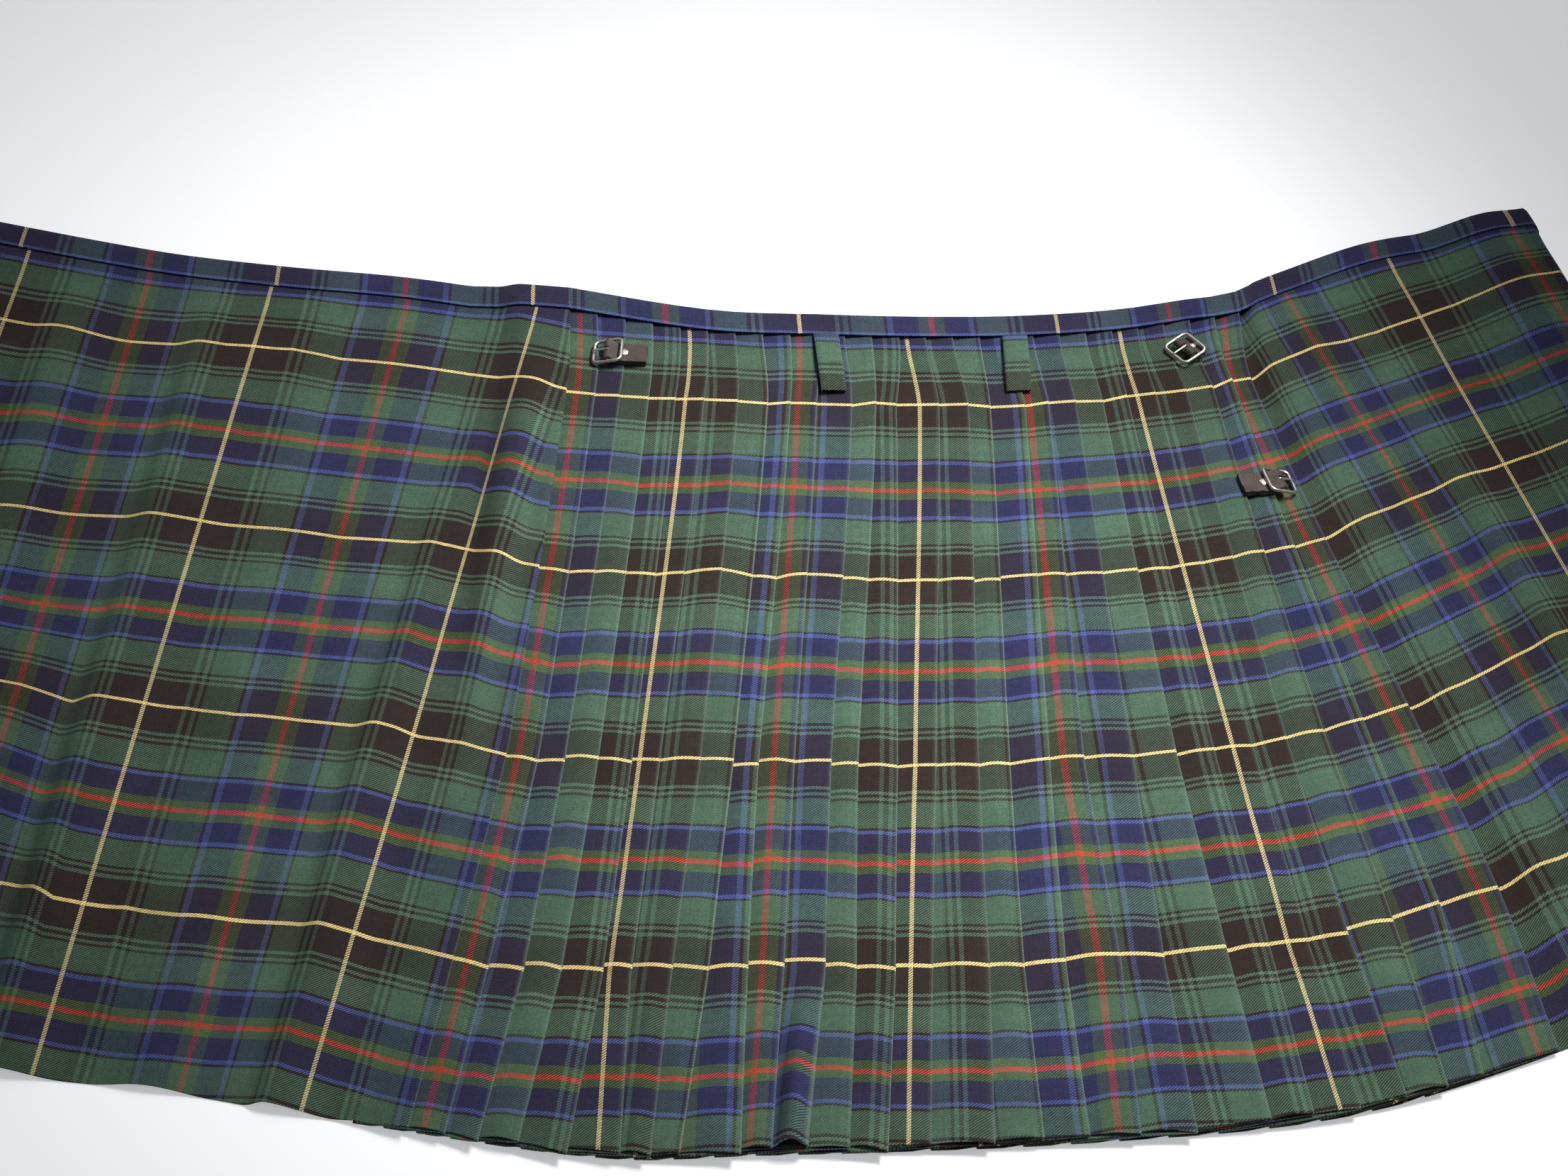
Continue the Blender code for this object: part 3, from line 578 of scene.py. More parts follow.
def pleatColumns(number, v):
    hidden = hiddenAt(v)
    start = number - 1 - hidden
    crease = creasePlace(number, v)
    before = creasePlace(number - 1, v)
    pitch = evenX(number + 0.5, v) - evenX(number - 0.5, v)
    lift = creaseLift(number, v)
    radius = cloth["layer"] / 2 + lift / 2
    end = crease - radius / pitch
    inner = [start, start + 0.3, start + 0.55, start + 0.8, start + 1.0]
    middle = list(np.linspace(start + 1.0, before - 0.12, 4)[1:])
    shares = np.array([0, 0.12, 0.26, 0.42, 0.58, 0.74, 0.88, 1.0])
    seen = list(before - 0.02 + (end - before + 0.02) * shares)
    places = np.array(inner + middle + seen)
    f = (places - before) / (end - before)
    z = faceHeight(number, places - start, v)
    z = z + lift * smoothStep(f, 0.25, 1.0)
    z = z + bulge(number, v) * np.sin(np.pi * np.clip(f, 0, 1)) ** 1.3
    x = evenX(places, v)
    drop = hemDrop(number, v) * np.clip(f, 0, 1) ** 1.5
    run = alongRow(x, v)
    s = run - run[-1]
    # pale mark at the crease edge and round the fold: rubbed wear with a painted highlight
    rubbed = np.where(f > 0.97, 0.6, 0.0)

    # Round the crease and back under the face
    turnX, turnZ, arc = roundCrease(x[-1], z[-1], radius)
    fold = number - hidden
    back = np.linspace(crease - 0.35, fold + (0.1 if number == cloth["pleats"] else 0.0), 4)
    backZ = faceHeight(number, back - start, v) - cloth["layer"]
    backZ[0] += (lift - 2 * radius + cloth["layer"]) * 0.4
    backX = evenX(back, v)
    backS = arc[-1] + (x[-1] - backX)
    columns = [
        np.concatenate([x, turnX, backX]),
        np.concatenate([z, turnZ, backZ]),
        np.concatenate([s, arc, backS]) + sett["pleatStart"] + sett["pleatStep"] * number,
        np.concatenate([drop, np.full(4, drop[-1]), drop[-1] * np.linspace(0.8, 0, 4)]),
        np.concatenate([weftTilt(number, f, v), np.full(8, weftTilt(number, 1.0, v))]),
        np.concatenate([rubbed, [1.0, 1.0, 0.5, 0.2], np.zeros(4)]),
    ]
    if number < cloth["pleats"]:    # turn into the next pleat
        join = evenX(fold, v) - 0.4
        columns = [
            np.append(row, value)
            for row, value in zip(columns, (join, 0.4, columns[2][-1] + 0.5, 0.0, 0.0, 0.0))
        ]
    return columns


def backRow(v):
    parts = [pleatColumns(number, v) for number in range(1, cloth["pleats"] + 1)]
    x, z, s, drop, tilt, rubbed = (np.concatenate(rows) for rows in zip(*parts))
    wobble = 0.25 * np.sin(x / 31 + v / 47) * smoothStep(v, 120, 400)
    y = yAt(x, v) - drop
    return x, y, z + tableAt(v) + np.abs(wobble), s, v - 1 - tilt, rubbed


# Soft folds of the over apron: where their crest runs, widths to either side, heights on the way down
overFolds = [
    {
        "levels": [0, 45, 121, 226, 351, 480, 600],
        "crest": [-240, -239, -237, -236, -235, -234, -236],
        "left": 17, "right": 44,
        "high": [0, 3.5, 5.5, 4.5, 6.5, 7, 6],
    },
    {
        "levels": [0, 120, 180, 250, 340, 430, 500, 600],
        "crest": [-90, -90, -91, -88, -91, -91, -87, -89],
        "left": 15, "right": 40,
        "high": [0, 0, 3, 5.5, 5.5, 5, 5, 5],
    },
    {
        "levels": [0, 50, 110, 154, 211, 280, 351, 430, 600],
        "crest": [-60, -60, -56, -54, -50, -48, -46, -46, -46],
        "left": 24, "right": 20,
        "high": [0, 1, 5, 6, 5, 3, 1, 0, 0],
    },
    {
        "levels": [0, 60, 200, 400, 600],
        "crest": [-386, -384, -378, -376, -376],
        "left": 30, "right": 40,
        "high": [0, 2, 6, 7, 6],
    },
    {
        "levels": [0, 60, 150, 260, 380, 600],
        "crest": [-318, -318, -316, -312, -310, -310],
        "left": 20, "right": 34,
        "high": [0, 3, 4, 3, 1.5, 2.5],
    },
    {
        "levels": [0, 150, 300, 450, 600],
        "crest": [-170, -168, -164, -160, -158],
        "left": 26, "right": 34,
        "high": [0, 1.2, 2.0, 3.0, 3.5],
    },
]

underFolds = [
    {
        "levels": [0, 90, 200, 330, 480, 600],
        "crest": [528, 528, 528, 528, 530, 532],
        "left": 24, "right": 28,
        "high": [0, 1, 4, 4.5, 2, 2],
    },
    {
        "levels": [0, 200, 300, 430, 600],
        "crest": [596, 596, 596, 594, 590],
        "left": 22, "right": 22,
        "high": [0, 0, 2, 4, 4],
    },
    {
        "levels": [0, 330, 430, 520, 600],
        "crest": [446, 444, 440, 436, 434],
        "left": 18, "right": 26,
        "high": [0, 0, 3, 5, 5],
    },
]


def foldHeight(across, v, folds):
    total = np.zeros_like(np.asarray(across, float))
    for fold in folds:
        crest = np.interp(v, fold["levels"], fold["crest"])
        high = np.interp(v, fold["levels"], fold["high"])
        side = across - crest
        side = np.where(side < 0, side / fold["left"], side / fold["right"])
        total += high * np.where(np.abs(side) < 1, np.cos(side * np.pi / 2) ** 2, 0.0)
    return total * smoothStep(v, cloth["bandOutside"], cloth["liftEnds"] * 2)


# Where the pattern stands at the over apron's crease, and from which line on it is eased to that
overSeen = {
    "easedFrom": -70,
    "levels": [0, 71, 141, 211, 351, 600],
    "pattern": [-50, -43, -34, -22, -17, -17],
}

# How many points of a row lie behind: past the over apron's crease, past the under apron's far
# edge, and tucked under the last pleat
behind = {"over": 9, "under": 23, "tucked": 5}


def overRow(v):
    hidden = hiddenAt(v)
    start = -1 - hidden
    edge = warpLines[0][0]
    last = acrossAt(evenX(start, v), v)
    across = np.linspace(edge, last, 92)
    flatX = planX(across, v)
    crease = creasePlace(0, v)
    pitch = evenX(0.5, v) - evenX(-0.5, v)
    lift = creaseLift(0, v)
    radius = cloth["layer"] / 2 + lift / 2
    end = crease - radius / pitch
    places = start + (end - start) * np.linspace(0, 1, 25)[1:]
    step = places - start
    top = float(faceHeight(0, hidden + 1, v))
    climb = np.interp(step, [0, 0.3, 1.0, hidden + 1], [0, 0.2, 2.0, top])
    risen = np.maximum(faceHeight(0, step, v), climb)
    x = np.concatenate([flatX, evenX(places, v)])
    z = np.concatenate([np.zeros(len(across)), risen])
    z = z + foldHeight(acrossAt(x, v), v, overFolds) * (1 - smoothStep(x, x[-1] - 3, x[-1]))
    z = z + lift * smoothStep(x, x[-1] - 14, x[-1])
    s = acrossAt(x, v)
    eased = overSeen["easedFrom"]
    run = alongCloth(x, yAt(x, v), z)
    base = np.interp(eased, s, run)
    wanted = np.interp(v, overSeen["levels"], overSeen["pattern"])
    s = np.where(s <= eased, s, eased + (wanted - eased) * (run - base) / (run[-1] - base))
    drop = hemDrop(0, v) * smoothStep(x, x[-1] - 30, x[-1])
    turnX, turnZ, arc = roundCrease(x[-1], z[-1], radius)
    back = np.linspace(crease - 0.35, 0.1 - hidden, 5)
    backX = evenX(back, v)
    backZ = faceHeight(0, back - start, v) - cloth["layer"]
    seam = s[-1]
    x = np.concatenate([x, turnX, backX])
    z = np.concatenate([z, turnZ, backZ])
    s = np.concatenate([s, seam + arc, seam + arc[-1] + turnX[-1] - backX])
    drop = np.concatenate([drop, np.full(4, drop[-1]), drop[-1] * np.linspace(0.8, 0, 5)])
    # pale mark round the over apron's crease: rubbed wear with a painted highlight
    rubbed = np.zeros(len(x))
    rubbed[-behind["over"]:3 - behind["over"]] = 0.8 * smoothStep(v, 200, 300)
    return x, yAt(x, v) - drop, z + tableAt(v), s, v - 1 - weftDrop("over", s, v), rubbed


underHeights = {
    "levels": [0, 60, 130, 260, 440, 600],
    "over": [5.2, 5.2, 2.9, 2.9, 2.9, 2.9],
    "roll": [17, 17, 14, 9, 7, 6],
}


def underRow(v):
    pleats = cloth["pleats"]
    start = pleats - hiddenAt(v)
    first = acrossAt(evenX(start, v), v)
    crease = acrossAt(evenX(creasePlace(pleats, v), v), v)
    turn = warpLines[-1][0]
    free = turn - cloth["turnedUnder"]
    over = np.interp(v, underHeights["levels"], underHeights["over"])
    high = np.interp(v, underHeights["levels"], underHeights["roll"])
    across = np.concatenate([np.linspace(first, crease, 6)[:-1], np.linspace(crease, turn - 3, 78)])
    climb = smoothStep(across, crease + 2, crease + 24)
    roll = smoothStep(across, turn - 62, turn - 14)
    z = over * climb + (high - over) * roll
    z = z + foldHeight(across, v, underFolds) * smoothStep(across, crease + 2, crease + 20)
    radius = (high + 0.6) / 2
    reach = min(radius, 5)
    lean = np.radians([75, 50, 25, 0, -25, -50, -75])
    roundAcross = turn + reach * np.cos(lean)
    roundZ = radius + radius * np.sin(lean)
    under = np.linspace(turn - 3, free, 16)
    across = np.concatenate([across, roundAcross, under])
    z = np.concatenate([z, roundZ, np.zeros(16)])
    x, y = planX(across, v), planY(across, v)
    s = across - 350
    bend = len(s) - behind["under"]
    run = alongCloth(x, y, z)
    s = np.where(np.arange(len(s)) < bend, s, s[bend - 1] + run - run[bend - 1])
    rubbed = np.zeros(len(x))
    return x, y, z + tableAt(v), s, v - 1 - weftDrop("under", across, v), rubbed


def selectFaces(piece, test):    # leaves the piece in edit mode
    bpy.ops.object.mode_set(mode="EDIT")
    bpy.ops.mesh.select_mode(type="FACE")
    bpy.ops.mesh.select_all(action="DESELECT")
    bpy.ops.object.mode_set(mode="OBJECT")
    for face in piece.data.polygons:
        face.select = test(face)
    bpy.ops.object.mode_set(mode="EDIT")


def layCloth(name, rows, thick, holes=()):
    tall, wide = len(rows), len(rows[0][0])
    clearSelection()
    bpy.ops.mesh.primitive_grid_add(x_subdivisions=wide - 1, y_subdivisions=tall - 1, size=1)
    piece = bpy.context.object
    piece.name = name
    mesh = piece.data
    if len(mesh.vertices) != wide * tall:
        raise RuntimeError(f"{name}: the grid has {len(mesh.vertices)} points, not {wide * tall}")
    stack = np.array([np.array(row) for row in reversed(rows)])    # tall, six, wide
    points = np.stack([stack[:, i].reshape(-1) for i in range(3)], axis=1)
    mesh.vertices.foreach_set("co", ((points + shift) * mm).reshape(-1))
    corner = np.empty(len(mesh.loops), np.int32)
    mesh.loops.foreach_get("vertex_index", corner)
    s, t, rubbed = (stack[:, i].reshape(-1) for i in (3, 4, 5))
    uv = np.stack([s[corner], t[corner]], axis=1) * mm
    mesh.uv_layers[0].name = "UVMap"
    mesh.uv_layers[0].data.foreach_set("uv", uv.reshape(-1))
    # strength of the pale edge mark: rubbed wear with a painted highlight
    mark = mesh.attributes.new("rubbed", "FLOAT", "POINT")
    mark.data.foreach_set("value", rubbed.astype(np.float32))
    mesh.update()
    if holes:
        selectFaces(piece, lambda face: face.index in holes)
        bpy.ops.mesh.delete(type="FACE")
        bpy.ops.object.mode_set(mode="OBJECT")
    wall = piece.modifiers.new("wall", "SOLIDIFY")
    wall.thickness = thick * mm
    wall.offset = 0
    bpy.ops.object.modifier_apply(modifier="wall")
    bpy.ops.object.shade_smooth_by_angle(angle=math.radians(50))
    piece.location = (0, 0, 0)
    return piece


def finishPiece(piece, body, slot, finish, *nodes):
    piece.data.materials.clear()
    piece.data.materials.append(finish)
    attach(piece, body)
    if nodes:
        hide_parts(*nodes)
    return piece


topEdge = 1.2    # where the first row stands, below the waist's own line
levels = list(np.linspace(topEdge, cloth["length"], cloth["rows"]))
overApron = layCloth("overApronCloth", [overRow(v) for v in levels], cloth["thick"])
finishPiece(overApron, "kilt", "tartan", tartan, "over_apron")
pleatedBack = layCloth("pleatedCloth", [backRow(v) for v in levels], cloth["thick"])
finishPiece(pleatedBack, "kilt", "tartan", tartan, "pleated_back")
underApron = layCloth("underApronCloth", [underRow(v) for v in levels], cloth["thick"])
finishPiece(underApron, "kilt", "tartan", tartan, "under_apron")
print("cloth laid")


# Waistband, folded over the top edge
band = {
    "gap": 1.05,
    "turn": -1.2,
    "edge": topEdge,
    "steps": (5.0, 9.0),
    "bridge": 24,
    "low": 117.5,      # where its own pattern stands at the seam, and at the top
    "high": 132,
    # where its lengthwise lines stand: x, pattern
    "spots": [(-490, -420), (-418, -350), (-276, -210), (-206, -140), (-136, -70), (-64, 0), (8, 70),
              (79, 140), (146, 210), (207, 280), (265, 350), (322, 420)],
}


def creaseTops(v):
    x = [float(evenX(creasePlace(number, v), v)) for number in range(cloth["pleats"] + 1)]
    z = [float(faceHeight(number, hiddenAt(v) + 1, v)) for number in range(cloth["pleats"] + 1)]
    return np.array(x), np.array(z)


def bandSurface(v):
    overX, _, overZ, _, _, _ = overRow(max(v, topEdge))
    overX, overZ = overX[:-behind["over"]], overZ[:-behind["over"]]
    tops, highs = creaseTops(v)
    seen = overX < tops[0] - 1
    underX, _, underZ, _, _, _ = underRow(max(v, topEdge))
    tucked = behind["tucked"]
    first = tucked + int(np.argmax(underX[tucked:] > tops[-1]))
    x = np.concatenate([overX[seen], tops, underX[first + 1:]])
    z = np.concatenate([overZ[seen], highs + tableAt(v), underZ[first + 1:]])
    count = int(np.sum(seen)) + len(tops)
    bridge = tops[-1] + band["bridge"]
    near = (np.arange(len(x)) >= count) & (x < bridge)
    facing = slice(tucked, 80)    # points that face up, from left to right
    level = float(np.interp(bridge, underX[facing], underZ[facing]))
    f = (x - tops[-1]) / band["bridge"]
    z = np.where(near, np.maximum(z, z[count - 1] + (level - z[count - 1]) * f), z)
    return x, z, count


def makeBand():
    gap = band["gap"]
    edge, low = band["edge"], cloth["bandOutside"]
    upper, lower = band["steps"]
    samples = {}
    for v in (band["turn"], edge, upper, lower, cloth["bandInside"], low):
        samples[v] = bandSurface(v)
    x0, z0, count = samples[edge]
    size = len(x0)
    spotX, spotS = zip(*band["spots"])
    # out of the cloth, in the plane of the row
    dx, dz = np.gradient(x0), np.gradient(z0)
    long = np.hypot(dx, dz)
    outX, outZ = -dz / long, dx / long
    flat = np.arange(size) < count
    outX, outZ = np.where(flat, 0.0, outX), np.where(flat, 1.0, outZ)
    run = np.concatenate([[0.0], np.cumsum(np.hypot(dx[1:], dz[1:]))])
    mark = np.interp(x0, spotX, spotS)
    last = size - behind["under"] - 1
    beyond = x0 > spotX[-1]
    mark = np.where(beyond, spotS[-1] + (x0 - spotX[-1]) * 0.95, mark)
    mark = np.where(np.arange(size) > last, mark[last] + run - run[last], mark)

    def ring(v, side, share, t):
        sx, sz, _ = samples[v]
        sx, sz = sx[:size], sz[:size]
        inner = np.where(flat, tableAt(v), sz) if side < 0 else sz
        x = sx + outX * gap * side * share
        z = inner + outZ * gap * side * share
        down = min(max((v - edge) / (low - edge), 0), 1)
        puff = 0.35 * math.sin(math.pi * down) if side > 0 else 0
        return x, yAt(sx, v), z + puff * outZ, mark, np.full(size, t), np.zeros(size)

    wide = band["high"] - band["low"]
    rows = [
        ring(cloth["bandInside"], -1, 1.0, band["high"] + 13),
        ring(lower, -1, 1.0, band["high"] + 10),
        ring(upper, -1, 1.0, band["high"] + 6),
        ring(edge, -1, 1.0, band["high"] + 2.2),
        ring(band["turn"], -1, 0.45, band["high"] + 0.7),
        ring(band["turn"], 1, 0.45, band["high"] - 0.2),
        ring(edge, 1, 1.0, band["high"] - 0.08 * wide),
        ring(upper, 1, 1.0, band["high"] - 0.27 * wide),
        ring(lower, 1, 1.0, band["high"] - 0.53 * wide),
        ring(cloth["bandInside"], 1, 1.0, band["high"] - 0.73 * wide),
        ring(low, 1, 1.0, band["low"]),
    ]
    return layCloth("waistbandCloth", rows, cloth["thick"])


waistband = makeBand()
finishPiece(waistband, "kilt", "tartan", tartan, "waistband")
print("waistband folded")


def topAt(x, v):
    xs, zs = creaseTops(v)
    return float(np.interp(x, xs, zs)) + tableAt(v) + 0.5


# Belt loops
loops = {
    "wide": 12.5, "long": 46, "thick": 1.3, "bow": 1.7,
    "left_loop": {"x": 22.5, "lean": 4, "s": 35, "t": 17},
    "right_loop": {"x": 123.5, "lean": 1, "s": 31, "t": 19},
}


def beltLoop(node):
    spot = loops[node]
    rows = []
    for f in np.linspace(0, 1, 25):
        v = cloth["bandOutside"] + 0.6 + loops["long"] * f
        middle = spot["x"] + spot["lean"] * f
        sides = np.array([-1, -0.96, -0.8, -0.4, 0, 0.4, 0.8, 0.96, 1]) * loops["wide"] / 2
        x = middle + sides
        over = max(topAt(middle + side, v) for side in sides)
        z = over + 1.05 + loops["bow"] * math.sin(math.pi * f) ** 0.8
        edge = np.array([-0.35, -0.1, 0.05, 0.05, 0.08, 0.05, 0.05, -0.1, -0.35])
        down = np.full(9, spot["t"] + loops["long"] * f)
        # pale side edges of the loop: rubbed wear with a painted highlight
        rubbed = np.array([1, 0.6, 0, 0, 0, 0, 0, 0.6, 1]) * 0.5
        rows.append((x, yAt(x, v), z + edge, spot["s"] + sides, down, rubbed))
    return layCloth(node.replace("_l", "L") + "Cloth", rows, loops["thick"])


for node in ("left_loop", "right_loop"):
    strip = finishPiece(beltLoop(node), "kilt", "tartan", tartan, node)
print("belt loops sewn")

# Buckles, millimetres: which way the prong points, length of the tab, rivet's place and width
buckles = {
    "frameLong": 17.0, "frameWide": 19.5, "wire": 1.9, "bar": 1.6, "corner": 3.0, "farRail": 1.3,
    "barHigh": 3.2, "prong": 1.2, "gap": 0.3, "leather": 1.2, "tabWide": 14.5, "slotReach": 2.5,
    "left_buckle": {"turn": 177, "tab": 21, "rivet": -8.5, "rivetWide": 5.2, "hollow": False},
    "right_buckle": {"turn": 217, "tab": 8.6, "rivet": -5.4, "rivetWide": 3.4, "hollow": True},
    "hip_buckle": {"turn": 14, "tab": 21, "rivet": -8.5, "rivetWide": 5.2, "hollow": False},
}


def seatPiece(piece, put):    # from the buckle's own directions to its place on the kilt
    for vertex in piece.data.vertices:
        vertex.co = put(*(np.array(vertex.co[:]) / mm))
    clearSelection()
    piece.select_set(True)
    bpy.context.view_layer.objects.active = piece
    bpy.ops.object.shade_smooth_by_angle(angle=math.radians(50))
    return piece


def moveWhere(piece, test, move):    # shifts the points that pass the test
    bpy.ops.object.mode_set(mode="EDIT")
    bpy.ops.mesh.select_mode(type="VERT")
    bpy.ops.mesh.select_all(action="DESELECT")
    bpy.ops.object.mode_set(mode="OBJECT")
    for vertex in piece.data.vertices:
        vertex.select = test(vertex.co)
    bpy.ops.object.mode_set(mode="EDIT")
    bpy.ops.transform.translate(value=move)
    bpy.ops.object.mode_set(mode="OBJECT")


def roundedRing(name, long, wide, corner, thick):    # a ring pulled apart at its four corners
    clearSelection()
    bpy.ops.mesh.primitive_torus_add(
        major_segments=24, minor_segments=12, major_radius=corner * mm,
        minor_radius=thick / 2 * mm, rotation=(0, 0, math.radians(7.5)),
    )
    ring = bpy.context.object
    ring.name = name
    bpy.ops.object.transform_apply(location=True, rotation=True, scale=True)
    outX, outY = (long / 2 - corner) * mm, (wide / 2 - corner) * mm
    for sign in (1, -1):
        moveWhere(ring, lambda co: co.x * sign > 0, (outX * sign, 0, 0))
        moveWhere(ring, lambda co: co.y * sign > 0, (0, outY * sign, 0))
    return ring


def buckleSeat(side):    # a function from the buckle's own directions to the kilt's
    joint = next(j for j in frame["joints"] if j["child"] == side + "_prong")
    anchor = np.array(joint["pos_m"])
    turn = math.radians(buckles[side]["turn"])
    solid = frame["nodes"][side + "_frame"].data.vertices
    spots = np.array([v.co[:] for v in solid])
    reach = (spots - anchor) @ np.array([math.cos(turn), math.sin(turn), 0.0])
    ahead = spots[reach > 0.77 * reach.max()].mean(axis=0) - anchor
    ahead /= np.linalg.norm(ahead)
    across = np.array([-math.sin(turn), math.cos(turn), 0.0])
    across -= ahead * (across @ ahead)
    across /= np.linalg.norm(across)
    up = np.cross(ahead, across)

    def put(x, y, z):
        return anchor + (ahead * x + across * y + up * z) * mm
    return put


def joinPieces(pieces, name):
    clearSelection()
    for piece in pieces:
        piece.select_set(True)
    bpy.context.view_layer.objects.active = pieces[0]
    bpy.ops.object.join()
    pieces[0].name = name
    return pieces[0]


def levelSpot(x, z):    # a spot level with the cloth, in the directions of the leaning frame
    lean = math.atan((buckles["barHigh"] - buckles["farRail"]) / (buckles["frameLong"] / 2 - 1))
    return x * math.cos(lean) - z * math.sin(lean), x * math.sin(lean) + z * math.cos(lean)


def layTab(name, put, tab):
    high = buckles["leather"] + buckles["gap"] * 2 + buckles["leather"] / 2 - buckles["barHigh"]
    low = buckles["gap"] + buckles["leather"] / 2 - buckles["barHigh"]
    wrap = buckles["bar"] / 2 + buckles["gap"] + buckles["leather"] / 2
    end = -tab["rivet"] - tab["rivetWide"] / 2 - buckles["gap"]
    line = [(-tab["tab"] + d, high) for d in np.linspace(0, tab["tab"] - end, 9)]
    for degrees in range(100, -81, -20):
        bend = math.radians(degrees)
        line.append((wrap * math.cos(bend), wrap * math.sin(bend)))
    line += [(-d, low) for d in np.linspace(end, tab["tab"], 7)]
    across = [-1, -0.95, -0.6, -0.22, 0.22, 0.6, 0.95, 1]
    rows = []
    for i, (x, z) in enumerate(line):
        flatX, flatZ = levelSpot(x, z)
        shape = []
        for j, share in enumerate(across):
            ragged = 0.25 * chance(i, j, tab["turn"]) if j in (0, 7) else 0
            crinkle = 0.16 * chance(i, 3 * j, tab["turn"])
            y = share * buckles["tabWide"] / 2 + ragged
            shape.append((put(flatX, y, flatZ + crinkle) / mm - shift, y, x))
        points, sideways, lengthwise = (np.array(column) for column in zip(*shape))
        rows.append((*points.T, sideways, lengthwise, np.zeros(len(shape))))
    middle = len(across) // 2 - 1    # the prong's slot, where the tab turns round the bar
    faces = {
        (len(line) - 2 - i) * (len(across) - 1) + middle
        for i in range(len(line) - 1) if min(line[i][0], line[i + 1][0]) > -buckles["slotReach"]
    }
    piece = layCloth(name, rows, buckles["leather"], faces)
    steps = [math.dist(a, b) for a, b in zip(line, line[1:])]
    return piece


def setRivet(name, put, tab):
    high = 2 * buckles["leather"] + 2 * buckles["gap"] - buckles["barHigh"] + 0.15
    wide = tab["rivetWide"]
    clearSelection()
    bpy.ops.mesh.primitive_cylinder_add(vertices=28, radius=wide / 2 * mm, depth=0.5 * mm)
    rivet = bpy.context.object
    rivet.name = name
    selectFaces(rivet, lambda face: face.normal.z > 0.9)
    if tab["hollow"]:    # an eyelet
        bpy.ops.mesh.inset(thickness=wide * 0.22 * mm)
        bpy.ops.transform.translate(value=(0, 0, 0.22 * mm))
        bpy.ops.mesh.inset(thickness=wide * 0.08 * mm)
        bpy.ops.transform.translate(value=(0, 0, -0.55 * mm))
    else:    # a domed head with a raised middle
        for inset, rise in ((0.1, 0.28), (0.12, 0.16), (0.1, 0.08), (0.06, 0.03)):
            bpy.ops.mesh.inset(thickness=wide * inset * mm)
            bpy.ops.transform.translate(value=(0, 0, rise * mm))
    bpy.ops.object.mode_set(mode="OBJECT")
    bpy.ops.object.shade_smooth_by_angle(angle=math.radians(50))
    middle = np.array([tab["rivet"], 0.0, high])
    for vertex in rivet.data.vertices:
        x, y, z = np.array(vertex.co[:]) / mm + middle
        x, z = levelSpot(x, z)
        vertex.co = put(x, y, z)
    return rivet


def makeBuckle(side):
    facts = buckles[side]
    put = buckleSeat(side)
    name = side.replace("_b", "B")
    long, wide = buckles["frameLong"] - buckles["wire"], buckles["frameWide"] - buckles["wire"]
    rails = roundedRing(name + "Frame", long, wide, buckles["corner"], buckles["wire"])
    clearSelection()
    bpy.ops.mesh.primitive_cylinder_add(
        vertices=12, radius=buckles["bar"] / 2 * mm, depth=wide * mm,
        rotation=(math.pi / 2, 0, 0),
    )
    bar = bpy.context.object
    bpy.ops.object.transform_apply(location=True, rotation=True, scale=True)
    whole = seatPiece(joinPieces([rails, bar], name + "Frame"), put)
    finishPiece(whole, "kilt", "metal", steel, side + "_frame")

    # The prong: an eye round the bar, and a shank that tapers to a rounded tip on the far rail
    hook = buckles["bar"] / 2 + 0.25 + buckles["prong"] / 2
    tip = long / 2 + 0.6
    clearSelection()
    bpy.ops.mesh.primitive_torus_add(
        major_segments=20, minor_segments=10, major_radius=hook * mm,
        minor_radius=buckles["prong"] / 2 * mm, rotation=(math.pi / 2, 0, 0),
    )
    eye = bpy.context.object
    bpy.ops.object.transform_apply(location=True, rotation=True, scale=True)
    clearSelection()
    bpy.ops.mesh.primitive_cylinder_add(
        vertices=12, radius=buckles["prong"] / 2 * mm, depth=tip * 0.7 * mm,
        location=(tip * 0.35 * mm, 0, hook * mm), rotation=(0, math.pi / 2, 0),
    )
    shank = bpy.context.object
    bpy.ops.object.transform_apply(location=True, rotation=True, scale=True)
    selectFaces(shank, lambda face: face.normal.x > 0.9)
    for reach, size in ((0.2, 0.86), (0.07, 0.8), (0.03, 0.5)):
        bpy.ops.mesh.extrude_region_move(
            TRANSFORM_OT_translate={"value": (tip * reach * mm, 0, 0.1 * reach * mm)}
        )
        bpy.ops.transform.resize(value=(size, size, size))
    bpy.ops.object.mode_set(mode="OBJECT")
    prong = seatPiece(joinPieces([eye, shank], name + "Prong"), put)
    finishPiece(prong, side + "_prong", "metal", steel, side + "_prong")
    tab = layTab(name + "Tab", put, facts)
    finishPiece(tab, "kilt", "leather", leather, side + "_tab")
    rivet = setRivet(name + "Rivet", put, facts)
    finishPiece(rivet, "kilt", "metal", steel, side + "_rivet")


for side in ("left_buckle", "right_buckle", "hip_buckle"):
    makeBuckle(side)
print("buckles fastened")

# Straps keep their solids' shape and take the leather
for node, made in frame["nodes"].items():
    if "strap" in node:
        for holder in made.material_slots:
            holder.material = leather

# Table
clearSelection()
bpy.ops.mesh.primitive_plane_add(size=14, location=(0, 0, 0))
table = bpy.context.object
table.name = "paleFloor"
paper, paperShader, paperRoot = startFinish("pale floor", 0.85, 0.0, 0.0, 0.2)
spot = paperRoot.node("ShaderNodeTexCoord", {}, {}, 3)
speck = paperRoot.node("ShaderNodeTexNoise", {}, {"Vector": spot, "Scale": 3.0, "Detail": 3.0})
feed(paperShader, Base_Color=speck.mixed(linear((218, 220, 223)), linear((226, 226, 227))))
paperShader.inputs["Emission Color"].default_value = linear((250, 251, 255))
paperShader.inputs["Emission Strength"].default_value = 0.42
table.data.materials.append(paper)

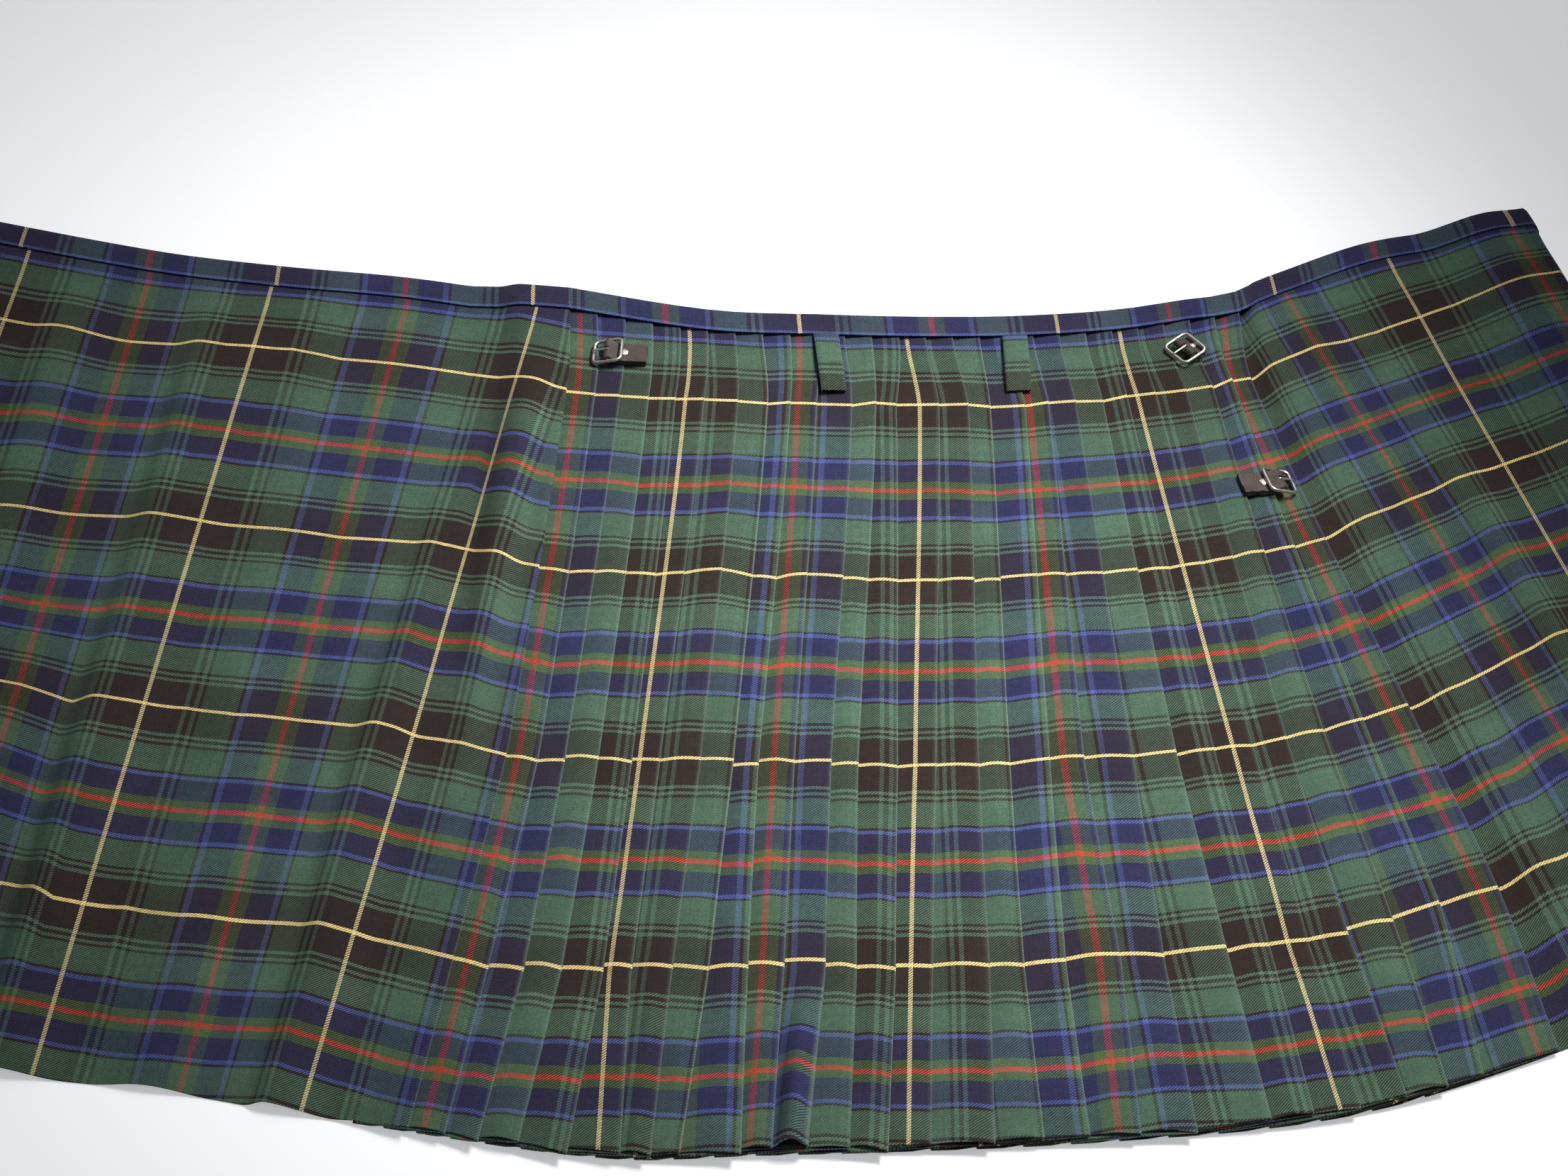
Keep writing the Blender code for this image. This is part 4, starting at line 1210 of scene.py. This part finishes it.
# Light: a soft source from the right, a weak one from the front, a far one behind, and a dim room
light = {
    "key": {
        "place": (0.6, 0.2, 1.0), "long": 0.9, "wide": 0.25, "power": 3.1,
        "colour": (1.0, 0.985, 0.965), "spread": 50, "aim": (0.06, 0.0, 0.0),
    },
    "fill": {
        "place": (0.25, -0.9, 1.6), "long": 1.3, "wide": 1.3, "power": 0.6,
        "colour": (0.95, 0.97, 1.0), "spread": 90, "aim": (0.12, 0.0, 0.0),
    },
    "back": {    # far and dim, it mostly shows in the metal
        "place": (0.1, 1.7, 1.5), "long": 2.2, "wide": 1.2, "power": 6,
        "colour": (1.0, 1.0, 1.0), "spread": 180, "aim": (0.05, 0.0, 0.0),
    },
    "room": {"colour": (0.95, 0.97, 1.0), "strength": 0.1},
}
for name in ("key", "fill", "back"):
    facts = light[name]
    clearSelection()
    bpy.ops.object.light_add(type="AREA", location=facts["place"])
    lamp = bpy.context.object
    lamp.name = name + "Light"
    lamp.data.shape = "RECTANGLE"
    lamp.data.size, lamp.data.size_y = facts["long"], facts["wide"]
    lamp.visible_camera = False
    lamp.data.energy = facts["power"]
    lamp.data.color = facts["colour"]
    lamp.data.spread = math.radians(facts["spread"])
    aim = Vector(facts["aim"]) - Vector(facts["place"])
    lamp.rotation_euler = aim.to_track_quat("-Z", "Y").to_euler()
room = bpy.data.worlds.new("paleRoom")
bpy.context.scene.world = room
room.use_nodes = True
sky = room.node_tree.nodes["Background"]
sky.inputs["Color"].default_value = (*light["room"]["colour"], 1)
sky.inputs["Strength"].default_value = light["room"]["strength"]
bpy.context.scene.view_settings.view_transform = "Standard"

# Camera where the photograph was taken from
view = {"target": (0.035113, 0.038863, 0.0), "back": 2.0413, "high": 1.8170, "lens": 122.82}
clearSelection()
target = Vector(view["target"])
bpy.ops.object.camera_add(location=target + Vector((0, -view["back"], view["high"])))
camera = bpy.context.object
camera.rotation_euler = (target - camera.location).to_track_quat("-Z", "Y").to_euler()
camera.data.sensor_width = 36
camera.data.lens = view["lens"]
camera.data.clip_end = 60
bpy.context.scene.camera = camera
print("light and camera set")
